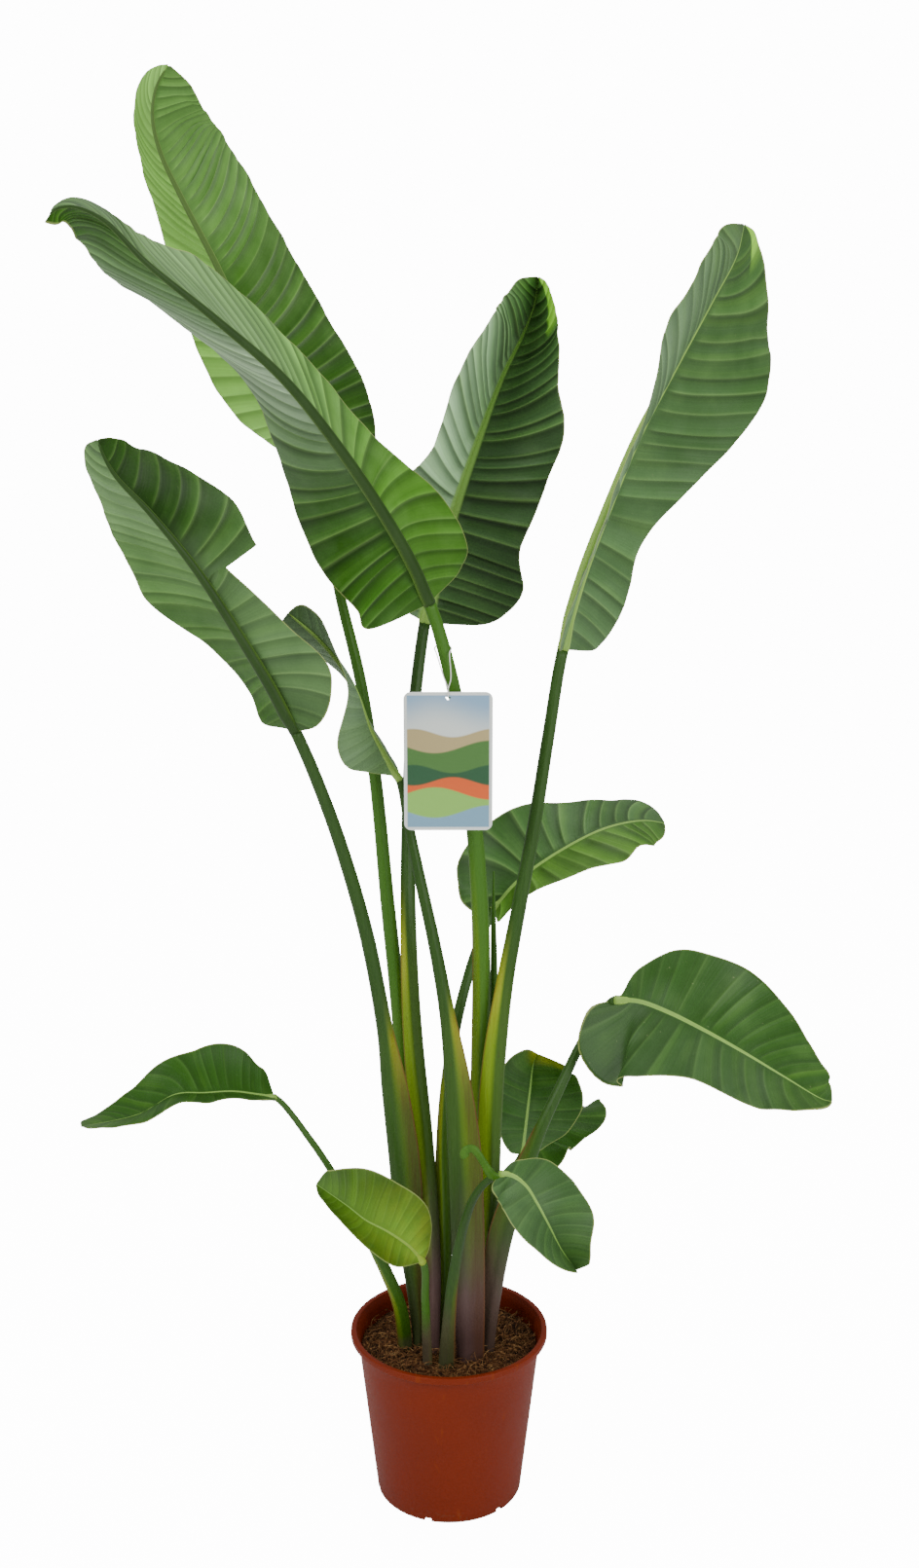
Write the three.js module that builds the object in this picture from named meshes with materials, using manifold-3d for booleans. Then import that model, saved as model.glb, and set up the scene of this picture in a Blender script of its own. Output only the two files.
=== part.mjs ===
// Potted bird of paradise: thirteen paddle leaves on sheathing stalks in a 24 cm plastic nursery pot.
// Millimetres, +Z up, origin at the centre of the pot's underside, +Y away from the viewer.
import * as THREE from 'three';
import { mergeVertices } from 'three/addons/utils/BufferGeometryUtils.js';
import Module from 'manifold-3d';

const wasm = await Module();
wasm.setup();

// ---- Driving sizes -------------------------------------------------------------------------

const GAP = 0.3; // clearance between touching pieces

const POT = {
  rimRadius: 120, // outer edge of the rolled rim
  height: 215,
  wallTopRadius: 111.5, // outer wall just under the rim
  footRadius: 89,
  wall: 2,
  floor: 2.5,
  footRound: 2,
  rimBand: 8,
  sides: 36,
};
const DRAIN = { count: 6, first: -17, width: 9, height: 5, reach: 16 }; // first: degrees from the front

const SOIL = { level: 190, lump: 3.5, rings: 7, depthOfStalks: 55 };

const BLADE = { thickness: 0.9, veinBend: 1.35, ribDepthShare: 0.55 };
const STALK = { sides: 8, step: 60 };

const TAG = { width: 97, height: 156, thickness: 0.8, corner: 8, hole: 3, holeDrop: 6 };
const TAG_CENTRE = { x: 0, y: -75.4, top: 1026 };
const TIE = { wire: 1.3, around: [-5.5, -61.5, 1071], stalkRadius: 8.1, sides: 6, steps: 40 };

// ---- Leaves --------------------------------------------------------------------------------
// rib: points along the midrib from the stalk to the tip. roll: degrees that the face turns about
// the rib at its base, middle and tip (0 faces the viewer, 180 shows the viewer its underside).
// left and right are the halves of the blade with the tip up and its face to the viewer:
// width: half widths at the inner WIDTH_STATIONS; lobe: how far the base lobe runs back past the
// stalk; lift and curl: degrees that the half folds up from the rib and bends on towards its margin,
// at the base, middle and tip. wave: height of the ripple at the margin, and its waves.
// tear: a split from the rib to the margin, at this share of the rib; the margins below and above it
// end at the shares lower and upper, narrowed by these shares.
// stalk.route: x, y, z, width and depth of the stalk from the soil up; it ends at the rib.
// wing: the side on which the sheath thins out, 1 towards +X.

const WIDTH_STATIONS = [0, 0.04, 0.1, 0.18, 0.28, 0.4, 0.52, 0.64, 0.76, 0.87, 0.95, 1];
const STATIONS = [0, 0.05, 0.12, 0.25, 0.45, 0.65, 0.85, 0.95, 1];
const FORWARD = [0, 0, 0, 0, 0.09, 0.14, 0.1, 0.04, 0]; // margins reach towards the tip, x rib length
const BACKWARD = [0, 0.7, 1, 0.3, 0, 0, 0, 0, 0]; // and back towards the stalk, x lobe

const LEAVES = [
  {
    name: 'leaf_top_back',
    rib: [[-133, 60, 1155], [-174, 65, 1279], [-213, 70, 1380], [-250, 75, 1466],
      [-290, 85, 1543], [-312, 90, 1591], [-319, 92, 1627], [-314, 94, 1657], [-300, 95, 1681]],
    roll: [150, 175, 175],
    left: {
      width: [55, 80, 102, 131, 134, 132, 136, 116, 84, 48],
      lobe: 14,
      lift: [45, 50, 55],
      curl: [20, 20, 20],
    },
    right: {
      width: [34, 65, 101, 163, 153, 124, 97, 88, 101, 64],
      lobe: 0,
      lift: [55, 70, 70],
      curl: [35, -35, -5],
    },
    rows: 20,
    wave: [1.5, 5],
    stalk: {
      route: [[-30, 18, 190, 19, 12], [-34, 14, 300, 25, 12], [-41, 15, 426, 27, 13],
        [-51, 17, 550, 23, 14], [-62, 24, 657, 18, 15], [-71, 28, 751, 16.5, 15],
        [-84, 38, 899, 14.5, 13.5], [-100, 46, 1012, 13.2, 12.5], [-119, 55, 1094, 12, 11.5]],
      tip: [11, 10.5],
      wing: 1,
    },
  },
  {
    name: 'leaf_top_front',
    rib: [[-20, -70, 1122], [-54, -100, 1196], [-108, -150, 1291], [-161, -200, 1367],
      [-221, -250, 1427], [-277, -290, 1478], [-312, -308, 1516], [-337, -316, 1527],
      [-353, -320, 1524], [-362, -322, 1513]],
    roll: [210, 195, 190],
    left: {
      width: [61, 98, 108, 87, 95, 139, 93, 44, 61, 54],
      lobe: 60,
      lift: [25, 70, 70],
      curl: [-5, -15, 10],
    },
    right: {
      width: [69, 75, 101, 110, 94, 118, 118, 78, 27, 16],
      lobe: 34,
      lift: [15, 70, 70],
      curl: [30, 25, -25],
    },
    rows: 20,
    wave: [3, 5],
    stalk: {
      route: [[26, 14, 190, 17, 12], [30, 5, 303, 20, 12], [34, 2, 430, 22, 13], [37, 0, 555, 22, 14],
        [38, -6, 678, 21, 15], [36, -14, 762, 20, 16], [28, -28, 871, 18, 16],
        [15, -45, 976, 16, 15.5], [-1, -58, 1056, 15, 14.5]],
      tip: [13.5, 13],
      wing: -1,
    },
  },
  {
    name: 'leaf_left_torn',
    rib: [[-164, -100, 988], [-185, -110, 1036], [-222, -130, 1107], [-261, -150, 1176],
      [-302, -165, 1233], [-334, -170, 1270], [-346, -170, 1293], [-350, -170, 1306]],
    roll: [160, 180, 190],
    left: {
      width: [32, 54, 70, 66, 94, 106, 106, 96, 68, 34],
      lobe: 19,
      lift: [-25, 20, 65],
      curl: [15, 45, 15],
    },
    right: {
      width: [53, 60, 55, 65, 106, 99, 94, 74, 62, 39],
      lobe: 24,
      lift: [40, 60, 70],
      curl: [-20, -35, 10],
    },
    rows: 18,
    wave: [2.5, 5],
    tear: { side: 'left', at: 0.52, lower: 0.46, upper: 0.42, narrow: [0.75, 0.25] },
    stalk: {
      route: [[-37, -2, 190, 14, 12], [-42, -10, 274, 20, 12], [-48, -18, 365, 34, 13],
        [-52, -22, 441, 37, 14], [-63, -26, 540, 31, 14], [-74, -32, 620, 19, 15],
        [-93, -45, 738, 16.5, 15], [-119, -65, 848, 15, 14], [-144, -85, 932, 13.8, 13]],
      tip: [13, 12],
      wing: 1,
    },
  },
  {
    name: 'leaf_centre_back',
    rib: [[-27, 100, 1069], [-11, 105, 1142], [10, 110, 1212], [34, 120, 1280], [62, 135, 1349],
      [86, 147, 1395], [99, 150, 1428], [103, 150, 1458]],
    roll: [5, 15, -10],
    left: {
      width: [43, 67, 93, 111, 87, 109, 105, 91, 68, 46],
      lobe: 0,
      lift: [10, 55, 70],
      curl: [-10, -25, 0],
    },
    right: {
      width: [64, 92, 103, 88, 98, 103, 79, 79, 70, 53],
      lobe: 10,
      lift: [5, 40, 70],
      curl: [5, 0, 15],
    },
    rows: 18,
    wave: [4, 6],
    stalk: {
      route: [[-19, -16, 190, 14, 12], [-18, -14, 290, 17, 12], [-24, -8, 388, 22, 12],
        [-33, -4, 484, 26, 12], [-41, 2, 577, 24, 13], [-45, 9, 655, 21, 14], [-47, 24, 746, 18, 15],
        [-47, 44, 825, 16, 14.5], [-42, 72, 947, 14.7, 13.5]],
      tip: [13.5, 12.5],
      wing: -1,
    },
  },
  {
    name: 'leaf_right_tall',
    rib: [[128, 0, 1057], [151, 10, 1139], [178, 20, 1212], [210, 30, 1289], [249, 45, 1361],
      [290, 60, 1434], [316, 70, 1482], [323, 70, 1515]],
    roll: [30, 20, 35],
    left: {
      width: [53, 78, 107, 116, 102, 148, 121, 99, 80, 59],
      lobe: 32,
      lift: [50, 70, 35],
      curl: [0, -25, -35],
    },
    right: {
      width: [62, 79, 79, 69, 101, 131, 141, 115, 54, 30],
      lobe: 26,
      lift: [-25, -20, -25],
      curl: [10, 30, 0],
    },
    rows: 20,
    wave: [2.5, 5],
    stalk: {
      route: [[40, 4, 190, 19, 12], [43, -7, 288, 22, 12], [47, -14, 390, 26, 12], [48, -19, 490, 29, 13],
        [53, -21, 575, 27, 14], [65, -21, 670, 20, 15], [81, -18, 763, 16.7, 15],
        [97, -12, 854, 15.5, 14.5], [112, -6, 955, 14.2, 13.5]],
      tip: [13, 12.5],
      wing: -1,
    },
  },
  {
    name: 'leaf_middle_right',
    rib: [[54, 100, 717], [83, 110, 749], [134, 130, 781], [192, 150, 805], [241, 170, 809],
      [267, 175, 804]],
    roll: [-30, -40, -50],
    left: {
      width: [11, 39, 70, 77, 77, 61, 58, 57, 43, 32],
      lobe: 42,
      lift: [35, -10, -25],
      curl: [10, 5, -25],
    },
    right: {
      width: [31, 42, 52, 59, 61, 66, 43, 43, 30, 19],
      lobe: 28,
      lift: [45, 35, 10],
      curl: [30, -10, -15],
    },
    rows: 14,
    wave: [2, 4],
    stalk: {
      route: [[-9, -2, 190, 13, 11], [-7, -4, 279, 19, 11], [-7, -3, 367, 21, 12], [-7, 4, 452, 17, 12],
        [-3, 16, 520, 15, 12], [6, 35, 581, 13.5, 12], [18, 56, 628, 12.5, 11], [34, 80, 675, 11.5, 10.5]],
      tip: [10.5, 10],
      wing: -1,
    },
  },
  {
    name: 'leaf_right_low',
    rib: [[193, -22, 649], [219, -34, 652], [251, -50, 645], [290, -70, 631], [333, -90, 612],
      [376, -110, 591], [417, -130, 572], [428, -132, 570]],
    roll: [-20, -40, -65],
    left: {
      width: [10, 40, 69, 80, 89, 81, 64, 47, 34, 25],
      lobe: 0,
      lift: [20, 0, 0],
      curl: [15, 5, 5],
    },
    right: {
      width: [10, 55, 98, 85, 61, 63, 63, 53, 22, 10],
      lobe: 70,
      lift: [10, 5, 20],
      curl: [0, 0, 0],
    },
    rows: 16,
    wave: [1.5, 4],
    stalk: {
      route: [[46, -16, 190, 18, 12], [51, -26, 275, 25, 12], [61, -36, 354, 30, 12],
        [83, -40, 430, 25, 12], [105, -40, 490, 16, 12], [131, -28, 545, 12.4, 11.5],
        [158, -4, 592, 11, 10.5], [178, 0, 619, 10.5, 10]],
      tip: [10, 9.5],
      wing: -1,
    },
  },
  {
    name: 'leaf_small_round',
    rib: [[90, 70, 410], [95, 85, 445], [100, 100, 480], [105, 110, 515], [110, 115, 525]],
    roll: [30, 20, 5],
    left: {
      width: [21, 33, 44, 49, 50, 53, 53, 47, 27, 18],
      lobe: 8,
      lift: [20, 20, 40],
      curl: [5, 5, -5],
    },
    right: {
      width: [19, 30, 42, 57, 67, 66, 62, 59, 53, 46],
      lobe: 0,
      lift: [15, 15, 50],
      curl: [15, 5, 10],
    },
    rows: 12,
    wave: [1.5, 4],
    stalk: {
      route: [[52, 36, 190, 11, 10], [54, 40, 281, 11, 10], [62, 50, 340, 10, 9], [76, 62, 388, 9.5, 8.5]],
      tip: [9, 8],
      wing: 1,
    },
  },
  {
    name: 'leaf_small_wavy',
    rib: [[105, 140, 375], [115, 160, 395], [135, 190, 400], [160, 220, 400], [180, 240, 395]],
    roll: [0, -45, -95],
    left: {
      width: [19, 28, 38, 43, 46, 46, 44, 39, 30, 22],
      lobe: 10,
      lift: [20, 25, 20],
      curl: [15, 15, 15],
    },
    right: {
      width: [17, 27, 41, 45, 47, 57, 59, 46, 34, 26],
      lobe: 25,
      lift: [15, 30, 55],
      curl: [0, -15, -25],
    },
    rows: 12,
    wave: [2, 4],
    stalk: {
      route: [[32, 44, 190, 9, 8.5], [40, 64, 262, 8.5, 8], [58, 94, 316, 8, 7.5], [82, 122, 352, 7.5, 7]],
      tip: [7, 6.5],
      wing: 1,
    },
  },
  {
    name: 'leaf_front_drooping',
    rib: [[58, -130, 482], [72, -140, 484], [86, -147, 476], [98, -155, 459], [110, -160, 437],
      [126, -165, 406], [143, -165, 381]],
    roll: [-30, -30, -35],
    left: {
      width: [10, 20, 34, 46, 50, 51, 42, 32, 24, 19],
      lobe: 0,
      lift: [-25, 10, 60],
      curl: [5, 10, 15],
    },
    right: {
      width: [12, 22, 34, 46, 49, 46, 40, 30, 18, 10],
      lobe: 16,
      lift: [30, 30, 65],
      curl: [0, 0, 20],
    },
    rows: 12,
    wave: [1, 4],
    stalk: {
      route: [[-3, -52, 190, 20, 10], [0, -66, 259, 16, 10], [4, -80, 316, 13.5, 10.5],
        [11, -93, 370, 12, 10.5], [19, -105, 413, 11, 10], [29, -115, 446, 9.5, 9], [43, -124, 470, 8.5, 8]],
      tip: [8, 7.5],
      wing: 1,
    },
  },
  {
    name: 'leaf_front_yellowing',
    rib: [[-30, -90, 350], [-45, -100, 375], [-70, -110, 400], [-95, -120, 420],
      [-115, -125, 440], [-150, -130, 470]],
    roll: [35, 35, 50],
    left: {
      width: [6, 16, 26, 36, 42, 38, 38, 36, 27, 19],
      lobe: 0,
      lift: [10, 30, 40],
      curl: [10, 15, 15],
    },
    right: {
      width: [12, 23, 37, 50, 54, 54, 46, 34, 23, 17],
      lobe: 1,
      lift: [5, 15, 15],
      curl: [15, 5, 5],
    },
    rows: 12,
    wave: [1, 3],
    stalk: {
      route: [[-26, -46, 190, 12, 10], [-27, -60, 244, 11, 9.5], [-28, -74, 294, 9.5, 8.5]],
      tip: [8.5, 8],
      wing: 1,
    },
  },
  {
    name: 'leaf_left_low',
    rib: [[-200, -60, 545], [-220, -75, 555], [-245, -90, 565], [-275, -105, 570],
      [-305, -120, 575], [-345, -140, 560], [-405, -160, 555]],
    roll: [80, 80, 90],
    left: {
      width: [17, 25, 31, 33, 43, 51, 41, 40, 30, 21],
      lobe: 0,
      lift: [20, 35, 25],
      curl: [35, -35, -25],
    },
    right: {
      width: [26, 36, 49, 57, 49, 46, 38, 32, 28, 23],
      lobe: 0,
      lift: [20, 20, -10],
      curl: [35, 20, -10],
    },
    rows: 12,
    wave: [1.5, 3],
    stalk: {
      route: [[-54, -6, 190, 18, 12], [-60, -24, 257, 17, 12], [-75, -38, 309, 15.5, 12],
        [-96, -48, 363, 12.6, 11], [-126, -54, 429, 9.2, 9], [-162, -56, 492, 8, 8]],
      tip: [7, 7],
      wing: -1,
    },
  },
  {
    name: 'leaf_small_twisted',
    rib: [[-55, -10, 910], [-70, -15, 940], [-85, -20, 970], [-100, -25, 1015],
      [-115, -30, 1045], [-140, -30, 1075], [-175, -30, 1105]],
    roll: [45, 85, 145],
    left: {
      width: [6, 23, 42, 47, 34, 26, 26, 26, 21, 13],
      lobe: 0,
      lift: [-25, -10, 25],
      curl: [-35, -30, 5],
    },
    right: {
      width: [13, 21, 29, 33, 35, 38, 42, 42, 34, 22],
      lobe: 0,
      lift: [-25, -25, -5],
      curl: [-25, 5, 30],
    },
    rows: 12,
    wave: [1, 3],
    stalk: {
      route: [[26, -36, 190, 33, 13], [24, -42, 285, 38, 14], [22, -44, 374, 40, 14], [18, -42, 473, 39, 14],
        [10, -40, 557, 30, 14], [-2, -36, 640, 18, 14], [-16, -32, 721, 14.5, 13.5], [-33, -24, 801, 13, 12],
        [-45, -17, 860, 11, 10.5]],
      tip: [9, 8.5],
      wing: 1,
    },
  },
];

// The rolled young leaf, a bare spear between the stalks.
const SPEAR = {
  name: 'leaf_spear',
  route: [[46, 24, 190, 8, 8], [49, 14, 295, 9, 9], [52, 8, 424, 10, 10], [53, 6, 550, 10, 9.5],
    [53, 4, 673, 8.5, 8], [52, 3, 745, 5.5, 5.5], [52, 2, 798, 2, 2]],
  wing: 1,
};

// ---- Finishes ------------------------------------------------------------------------------

const finish = (color, roughness) => new THREE.MeshStandardMaterial({ color, roughness, metalness: 0 });
const FINISH = {
  blade: finish(0x3c5f2b, 0.45),
  palm: finish(0x7f9436, 0.5), // the yellowing blade
  stalk: finish(0x4c6e2c, 0.4),
  spear: finish(0x7f9b3a, 0.45),
  pot: finish(0x9a4520, 0.5),
  soil: finish(0x5a3d22, 1),
  tag: finish(0xc9d3c4, 0.35),
  tie: finish(0xf0efe6, 0.4),
};

// ---- Curves --------------------------------------------------------------------------------

const vector = ([x, y, z]) => new THREE.Vector3(x, y, z);
const radians = THREE.MathUtils.degToRad;

/** A smooth curve through the values ys at the places xs, read at x. */
function smoothThrough(xs, ys, x) {
  const last = xs.length - 1;
  const slope = (i) => {
    const a = Math.max(i - 1, 0);
    const b = Math.min(i + 1, last);
    return (ys[b] - ys[a]) / (xs[b] - xs[a]);
  };
  let i = 0;
  while (i < last - 1 && x >= xs[i + 1]) i += 1;
  const h = xs[i + 1] - xs[i];
  const t = (x - xs[i]) / h;
  const s = 1 - t;
  return ys[i] * (1 + 2 * t) * s * s + slope(i) * h * t * s * s
    + ys[i + 1] * t * t * (3 - 2 * t) + slope(i + 1) * h * t * t * (t - 1);
}

/** The value at x of the parabola through its values at the base, middle and tip. */
function baseMiddleTip([base, middle, tip], x) {
  return base * (1 - x) * (1 - 2 * x) + middle * 4 * x * (1 - x) + tip * x * (2 * x - 1);
}

// ---- Solids --------------------------------------------------------------------------------

function geometryFrom(points, triangles) {
  const geometry = new THREE.BufferGeometry();
  geometry.setAttribute('position', new THREE.Float32BufferAttribute(points.flatMap((p) => p.toArray()), 3));
  geometry.setIndex(triangles.flat());
  return geometry;
}

function solidFrom(geometry) {
  const bare = geometry.clone();
  bare.deleteAttribute('normal');
  bare.deleteAttribute('uv');
  const merged = mergeVertices(bare, 1e-4);
  return new wasm.Manifold(new wasm.Mesh({
    numProp: 3,
    vertProperties: Float32Array.from(merged.attributes.position.array),
    triVerts: Uint32Array.from(merged.index.array),
  }));
}

function geometryOf(solid) {
  const mesh = solid.getMesh();
  const geometry = new THREE.BufferGeometry();
  geometry.setAttribute('position', new THREE.Float32BufferAttribute(mesh.vertProperties, 3));
  geometry.setIndex(Array.from(mesh.triVerts));
  return geometry;
}

const cut = (geometry, cutters) => geometryOf(
  cutters.reduce((solid, cutter) => solid.subtract(solidFrom(cutter)), solidFrom(geometry)),
);

/** Joins rings of points into a skin. Open ends are closed with strips across the ring. */
function loft(rings, closed = false) {
  const n = rings[0].length;
  const triangles = [];
  const spans = closed ? rings.length : rings.length - 1;
  for (let r = 0; r < spans; r += 1) {
    const a = r * n;
    const b = ((r + 1) % rings.length) * n;
    for (let k = 0; k < n; k += 1) {
      const next = (k + 1) % n;
      triangles.push([a + k, a + next, b + next], [a + k, b + next, b + k]);
    }
  }
  if (!closed) {
    const top = (rings.length - 1) * n;
    for (let k = 0; k < n / 2; k += 1) {
      const [p, q, u, v] = [k, k + 1, n - 1 - k, (n - k) % n];
      if (q < u) triangles.push([p, u, q], [top + p, top + q, top + u]);
      if (k > 0) triangles.push([p, v, u], [top + p, top + u, top + v]);
    }
  }
  return geometryFrom(rings.flat(), triangles);
}

// ---- Stalks --------------------------------------------------------------------------------

/** The stalk's section: round, and thinned on one side where it is wide, as a sheath is. */
function stalkSection(width, depth, wing, sides) {
  const thin = THREE.MathUtils.clamp((width / depth - 1) / 1.6, 0, 0.7);
  return Array.from({ length: sides }, (_, k) => {
    const angle = (2 * Math.PI * k) / sides;
    const onWing = (1 + wing * Math.cos(angle)) / 2;
    return [Math.cos(angle) * width / 2, Math.sin(angle) * (depth / 2) * (1 - thin * onWing ** 1.2)];
  });
}

/** A stalk along its route. spare widens it all round, for the hole or notch that it stands in. */
function stalkGeometry({ route, guide, wing }, spare = 0) {
  const foot = [route[0][0], route[0][1], route[0][2] - SOIL.depthOfStalks - spare, ...route[0].slice(3)];
  const stops = [foot, ...route];
  const points = stops.map(vector);
  const curve = new THREE.CatmullRomCurve3(guide ? [...points, vector(guide)] : points, false, 'centripetal');
  const spans = curve.points.length - 1;
  const usedSpans = stops.length - 1;
  const places = stops.map((_, i) => i);
  const steps = Math.max(6, Math.round(curve.getLength() / STALK.step));
  const rings = Array.from({ length: steps + 1 }, (_, i) => {
    const place = (usedSpans * i) / steps;
    const along = curve.getTangent(place / spans);
    const centre = curve.getPoint(place / spans);
    const across = new THREE.Vector3(1, 0, 0).addScaledVector(along, -along.x).normalize();
    const inward = new THREE.Vector3().crossVectors(along, across);
    const width = smoothThrough(places, stops.map((s) => s[3]), place) + 2 * spare;
    const depth = smoothThrough(places, stops.map((s) => s[4]), place) + 2 * spare;
    return stalkSection(width, depth, wing, STALK.sides).map(([u, v]) => (
      centre.clone().addScaledVector(across, u).addScaledVector(inward, v)));
  });
  return loft(rings);
}

/** The stalk's route, ended just short of the blade's rib and aimed along it. */
function routeToRib({ rib, stalk }) {
  const start = vector(rib[0]);
  const towards = vector(rib[1]).sub(start).normalize();
  const end = start.clone().addScaledVector(towards, -GAP);
  return {
    route: [...stalk.route, [...end.toArray(), ...stalk.tip]],
    guide: rib[1],
    wing: stalk.wing,
  };
}

// ---- Blades --------------------------------------------------------------------------------

const FRONT = new THREE.Vector3(0, -1, 0);

/** Returns a function that gives the point of the blade at a vein, a share of it, and its margin. */
function bladeSurface({ rib, roll, left, right, wave }) {
  const curve = new THREE.CatmullRomCurve3(rib.map(vector), false, 'centripetal');
  curve.arcLengthDivisions = 400;
  const length = curve.getLength();
  const halves = [left, right].map((half) => ({ ...half, widths: [0, ...half.width, 0] }));
  const widest = halves.map((half) => Math.max(...half.width));

  const frameAt = (x) => {
    const u = THREE.MathUtils.clamp(x / length, 0, 1);
    const along = curve.getTangentAt(u);
    const centre = curve.getPointAt(u).addScaledVector(along, x - u * length);
    const facing = FRONT.clone().addScaledVector(along, -along.dot(FRONT)).normalize();
    facing.applyAxisAngle(along, radians(baseMiddleTip(roll, u)));
    const sideways = new THREE.Vector3().crossVectors(along, facing);
    return { u, centre, facing, sideways };
  };

  const pointAt = (sideIndex, vein, share, marginVein = vein, narrowed = 1) => {
    const half = halves[sideIndex];
    const foot = length * vein;
    const reach = length * (marginVein + smoothThrough(STATIONS, FORWARD, marginVein))
      - half.lobe * smoothThrough(STATIONS, BACKWARD, marginVein);
    const across = share * narrowed * smoothThrough(WIDTH_STATIONS, half.widths, marginVein);
    const { u, centre, facing, sideways } = frameAt(foot + (reach - foot) * share ** BLADE.veinBend);
    const lift = radians(baseMiddleTip(half.lift, u));
    const bend = radians(baseMiddleTip(half.curl, u)) / widest[sideIndex] || 1e-6;
    const turned = lift + bend * across;
    const ends = Math.sqrt(Math.max(0, 4 * marginVein * (1 - marginVein)));
    const ripple = wave[0] * ends * share ** 2
      * Math.sin(2 * Math.PI * wave[1] * marginVein + 2 * sideIndex);
    return centre
      .addScaledVector(sideways, (sideIndex ? 1 : -1) * (Math.sin(turned) - Math.sin(lift)) / bend)
      .addScaledVector(facing, (Math.cos(lift) - Math.cos(turned)) / bend + ripple);
  };

  const halfWidthAt = (sideIndex, vein) => smoothThrough(WIDTH_STATIONS, halves[sideIndex].widths, vein);
  return { frameAt, pointAt, halfWidthAt };
}

/** Gives a sheet its thickness: a face each side along the normals, and walls round its edge. */
function thicken(points, triangles, above, below) {
  const normals = points.map(() => new THREE.Vector3());
  for (const [a, b, c] of triangles) {
    const normal = new THREE.Vector3().crossVectors(
      points[b].clone().sub(points[a]),
      points[c].clone().sub(points[a]),
    );
    [a, b, c].forEach((i) => normals[i].add(normal));
  }
  normals.forEach((normal) => normal.normalize());
  const n = points.length;
  const skin = [
    ...points.map((p, i) => p.clone().addScaledVector(normals[i], above)),
    ...points.map((p, i) => p.clone().addScaledVector(normals[i], -below[i])),
  ];
  const faces = triangles.flatMap(([a, b, c]) => [[a, b, c], [n + a, n + c, n + b]]);
  const edges = new Set(triangles.flatMap(([a, b, c]) => [`${a},${b}`, `${b},${c}`, `${c},${a}`]));
  for (const edge of edges) {
    const [a, b] = edge.split(',').map(Number);
    if (!edges.has(`${b},${a}`)) faces.push([b, a, n + a], [b, n + a, n + b]);
  }
  return geometryFrom(skin, faces);
}

/** A blade: two folded, rippled halves that share the rib, with a keel under it. */
function bladeGeometry(leaf) {
  const { rows, tear, stalk } = leaf;
  const surface = bladeSurface(leaf);
  const [ribWidth, ribDepth] = stalk.tip;
  const outerShares = [0.3, 0.55, 0.8, 1];
  const points = [];
  const below = [];
  const triangles = [];
  const add = (point, depth = BLADE.thickness / 2) => {
    points.push(point);
    below.push(depth);
    return points.length - 1;
  };
  const veins = Array.from({ length: rows + 1 }, (_, i) => (
    i / rows - Math.sin((2 * Math.PI * i) / rows) / 14)); // closer together at both ends
  const keelAt = (vein) => BLADE.thickness / 2 + ribDepth * (1 - vein) ** 0.8;
  const ribHalfAt = (vein) => 0.5 * ribWidth * (1 - vein) + 0.6;
  const ribPoints = veins.map((vein) => add(surface.pointAt(0, vein, 0), keelAt(vein)));

  [0, 1].forEach((sideIndex) => {
    const torn = tear && tear.side === (sideIndex ? 'right' : 'left');
    const tornRow = torn ? Math.round(tear.at * rows) : -1;
    const marginVein = (row, upper) => {
      if (!torn) return veins[row];
      if (upper) return 1 - (1 - veins[row]) * (1 - tear.upper) / (1 - veins[tornRow]);
      return veins[row] * tear.lower / veins[tornRow];
    };
    const narrowed = (row, upper) => {
      if (!torn) return 1;
      const { smoothstep } = THREE.MathUtils;
      if (!upper) return 1 - tear.narrow[0] * smoothstep(veins[row] / veins[tornRow], 0.35, 1);
      const away = (veins[row] - veins[tornRow]) / (1 - veins[tornRow]);
      return 1 - tear.narrow[1] * (1 - smoothstep(away, 0, 0.15));
    };
    const rowPoints = (row, upper) => {
      const vein = veins[row];
      if (row === rows) return [ribPoints[row]];
      if (row === 0) {
        const { centre, sideways } = surface.frameAt(0);
        const edge = centre.addScaledVector(sideways, (sideIndex ? 1 : -1) * ribHalfAt(0));
        return [ribPoints[0], add(edge, ribDepth * BLADE.ribDepthShare)];
      }
      const halfWidth = narrowed(row, upper) * surface.halfWidthAt(sideIndex, marginVein(row, upper));
      const near = Math.min(0.35, ribHalfAt(vein) / halfWidth);
      const shares = [near, ...outerShares];
      return [ribPoints[row], ...shares.map((share, column) => add(
        surface.pointAt(sideIndex, vein, share, marginVein(row, upper), narrowed(row, upper)),
        column === 0 ? BLADE.thickness / 2 + 0.35 * (keelAt(vein) - BLADE.thickness / 2) : undefined,
      ))];
    };
    const face = (a, b, c) => triangles.push(sideIndex ? [a, b, c] : [a, c, b]);
    const bridge = (low, high) => {
      if (high.length === 1) {
        for (let k = 0; k < low.length - 1; k += 1) face(low[k], low[k + 1], high[0]);
      } else if (low.length === 2) {
        face(low[0], low[1], high[1]);
        face(low[0], high[1], high[0]);
        for (let k = 1; k < high.length - 1; k += 1) face(low[1], high[k + 1], high[k]);
      } else {
        for (let k = 0; k < low.length - 1; k += 1) {
          const rising = points[low[k]].distanceTo(points[high[k + 1]]);
          const falling = points[low[k + 1]].distanceTo(points[high[k]]);
          if (rising < falling) {
            face(low[k], low[k + 1], high[k + 1]);
            face(low[k], high[k + 1], high[k]);
          } else {
            face(low[k], low[k + 1], high[k]);
            face(low[k + 1], high[k + 1], high[k]);
          }
        }
      }
    };
    let previous = rowPoints(0, false);
    for (let row = 1; row <= rows; row += 1) {
      const current = rowPoints(row, torn && row > tornRow);
      bridge(previous, current);
      previous = row === tornRow ? rowPoints(row, true) : current;
    }
  });
  const blade = thicken(points, triangles, BLADE.thickness / 2, below);
  return cut(blade, [stalkGeometry(routeToRib(leaf), GAP)]);
}

// ---- Pot and soil --------------------------------------------------------------------------

const slope = (POT.wallTopRadius - POT.footRadius) / (POT.height - POT.rimBand - POT.floor);
const outerRadiusAt = (z) => POT.footRadius + slope * Math.max(z - POT.floor, 0);
const innerRadiusAt = (z) => outerRadiusAt(z) - POT.wall;

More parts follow.
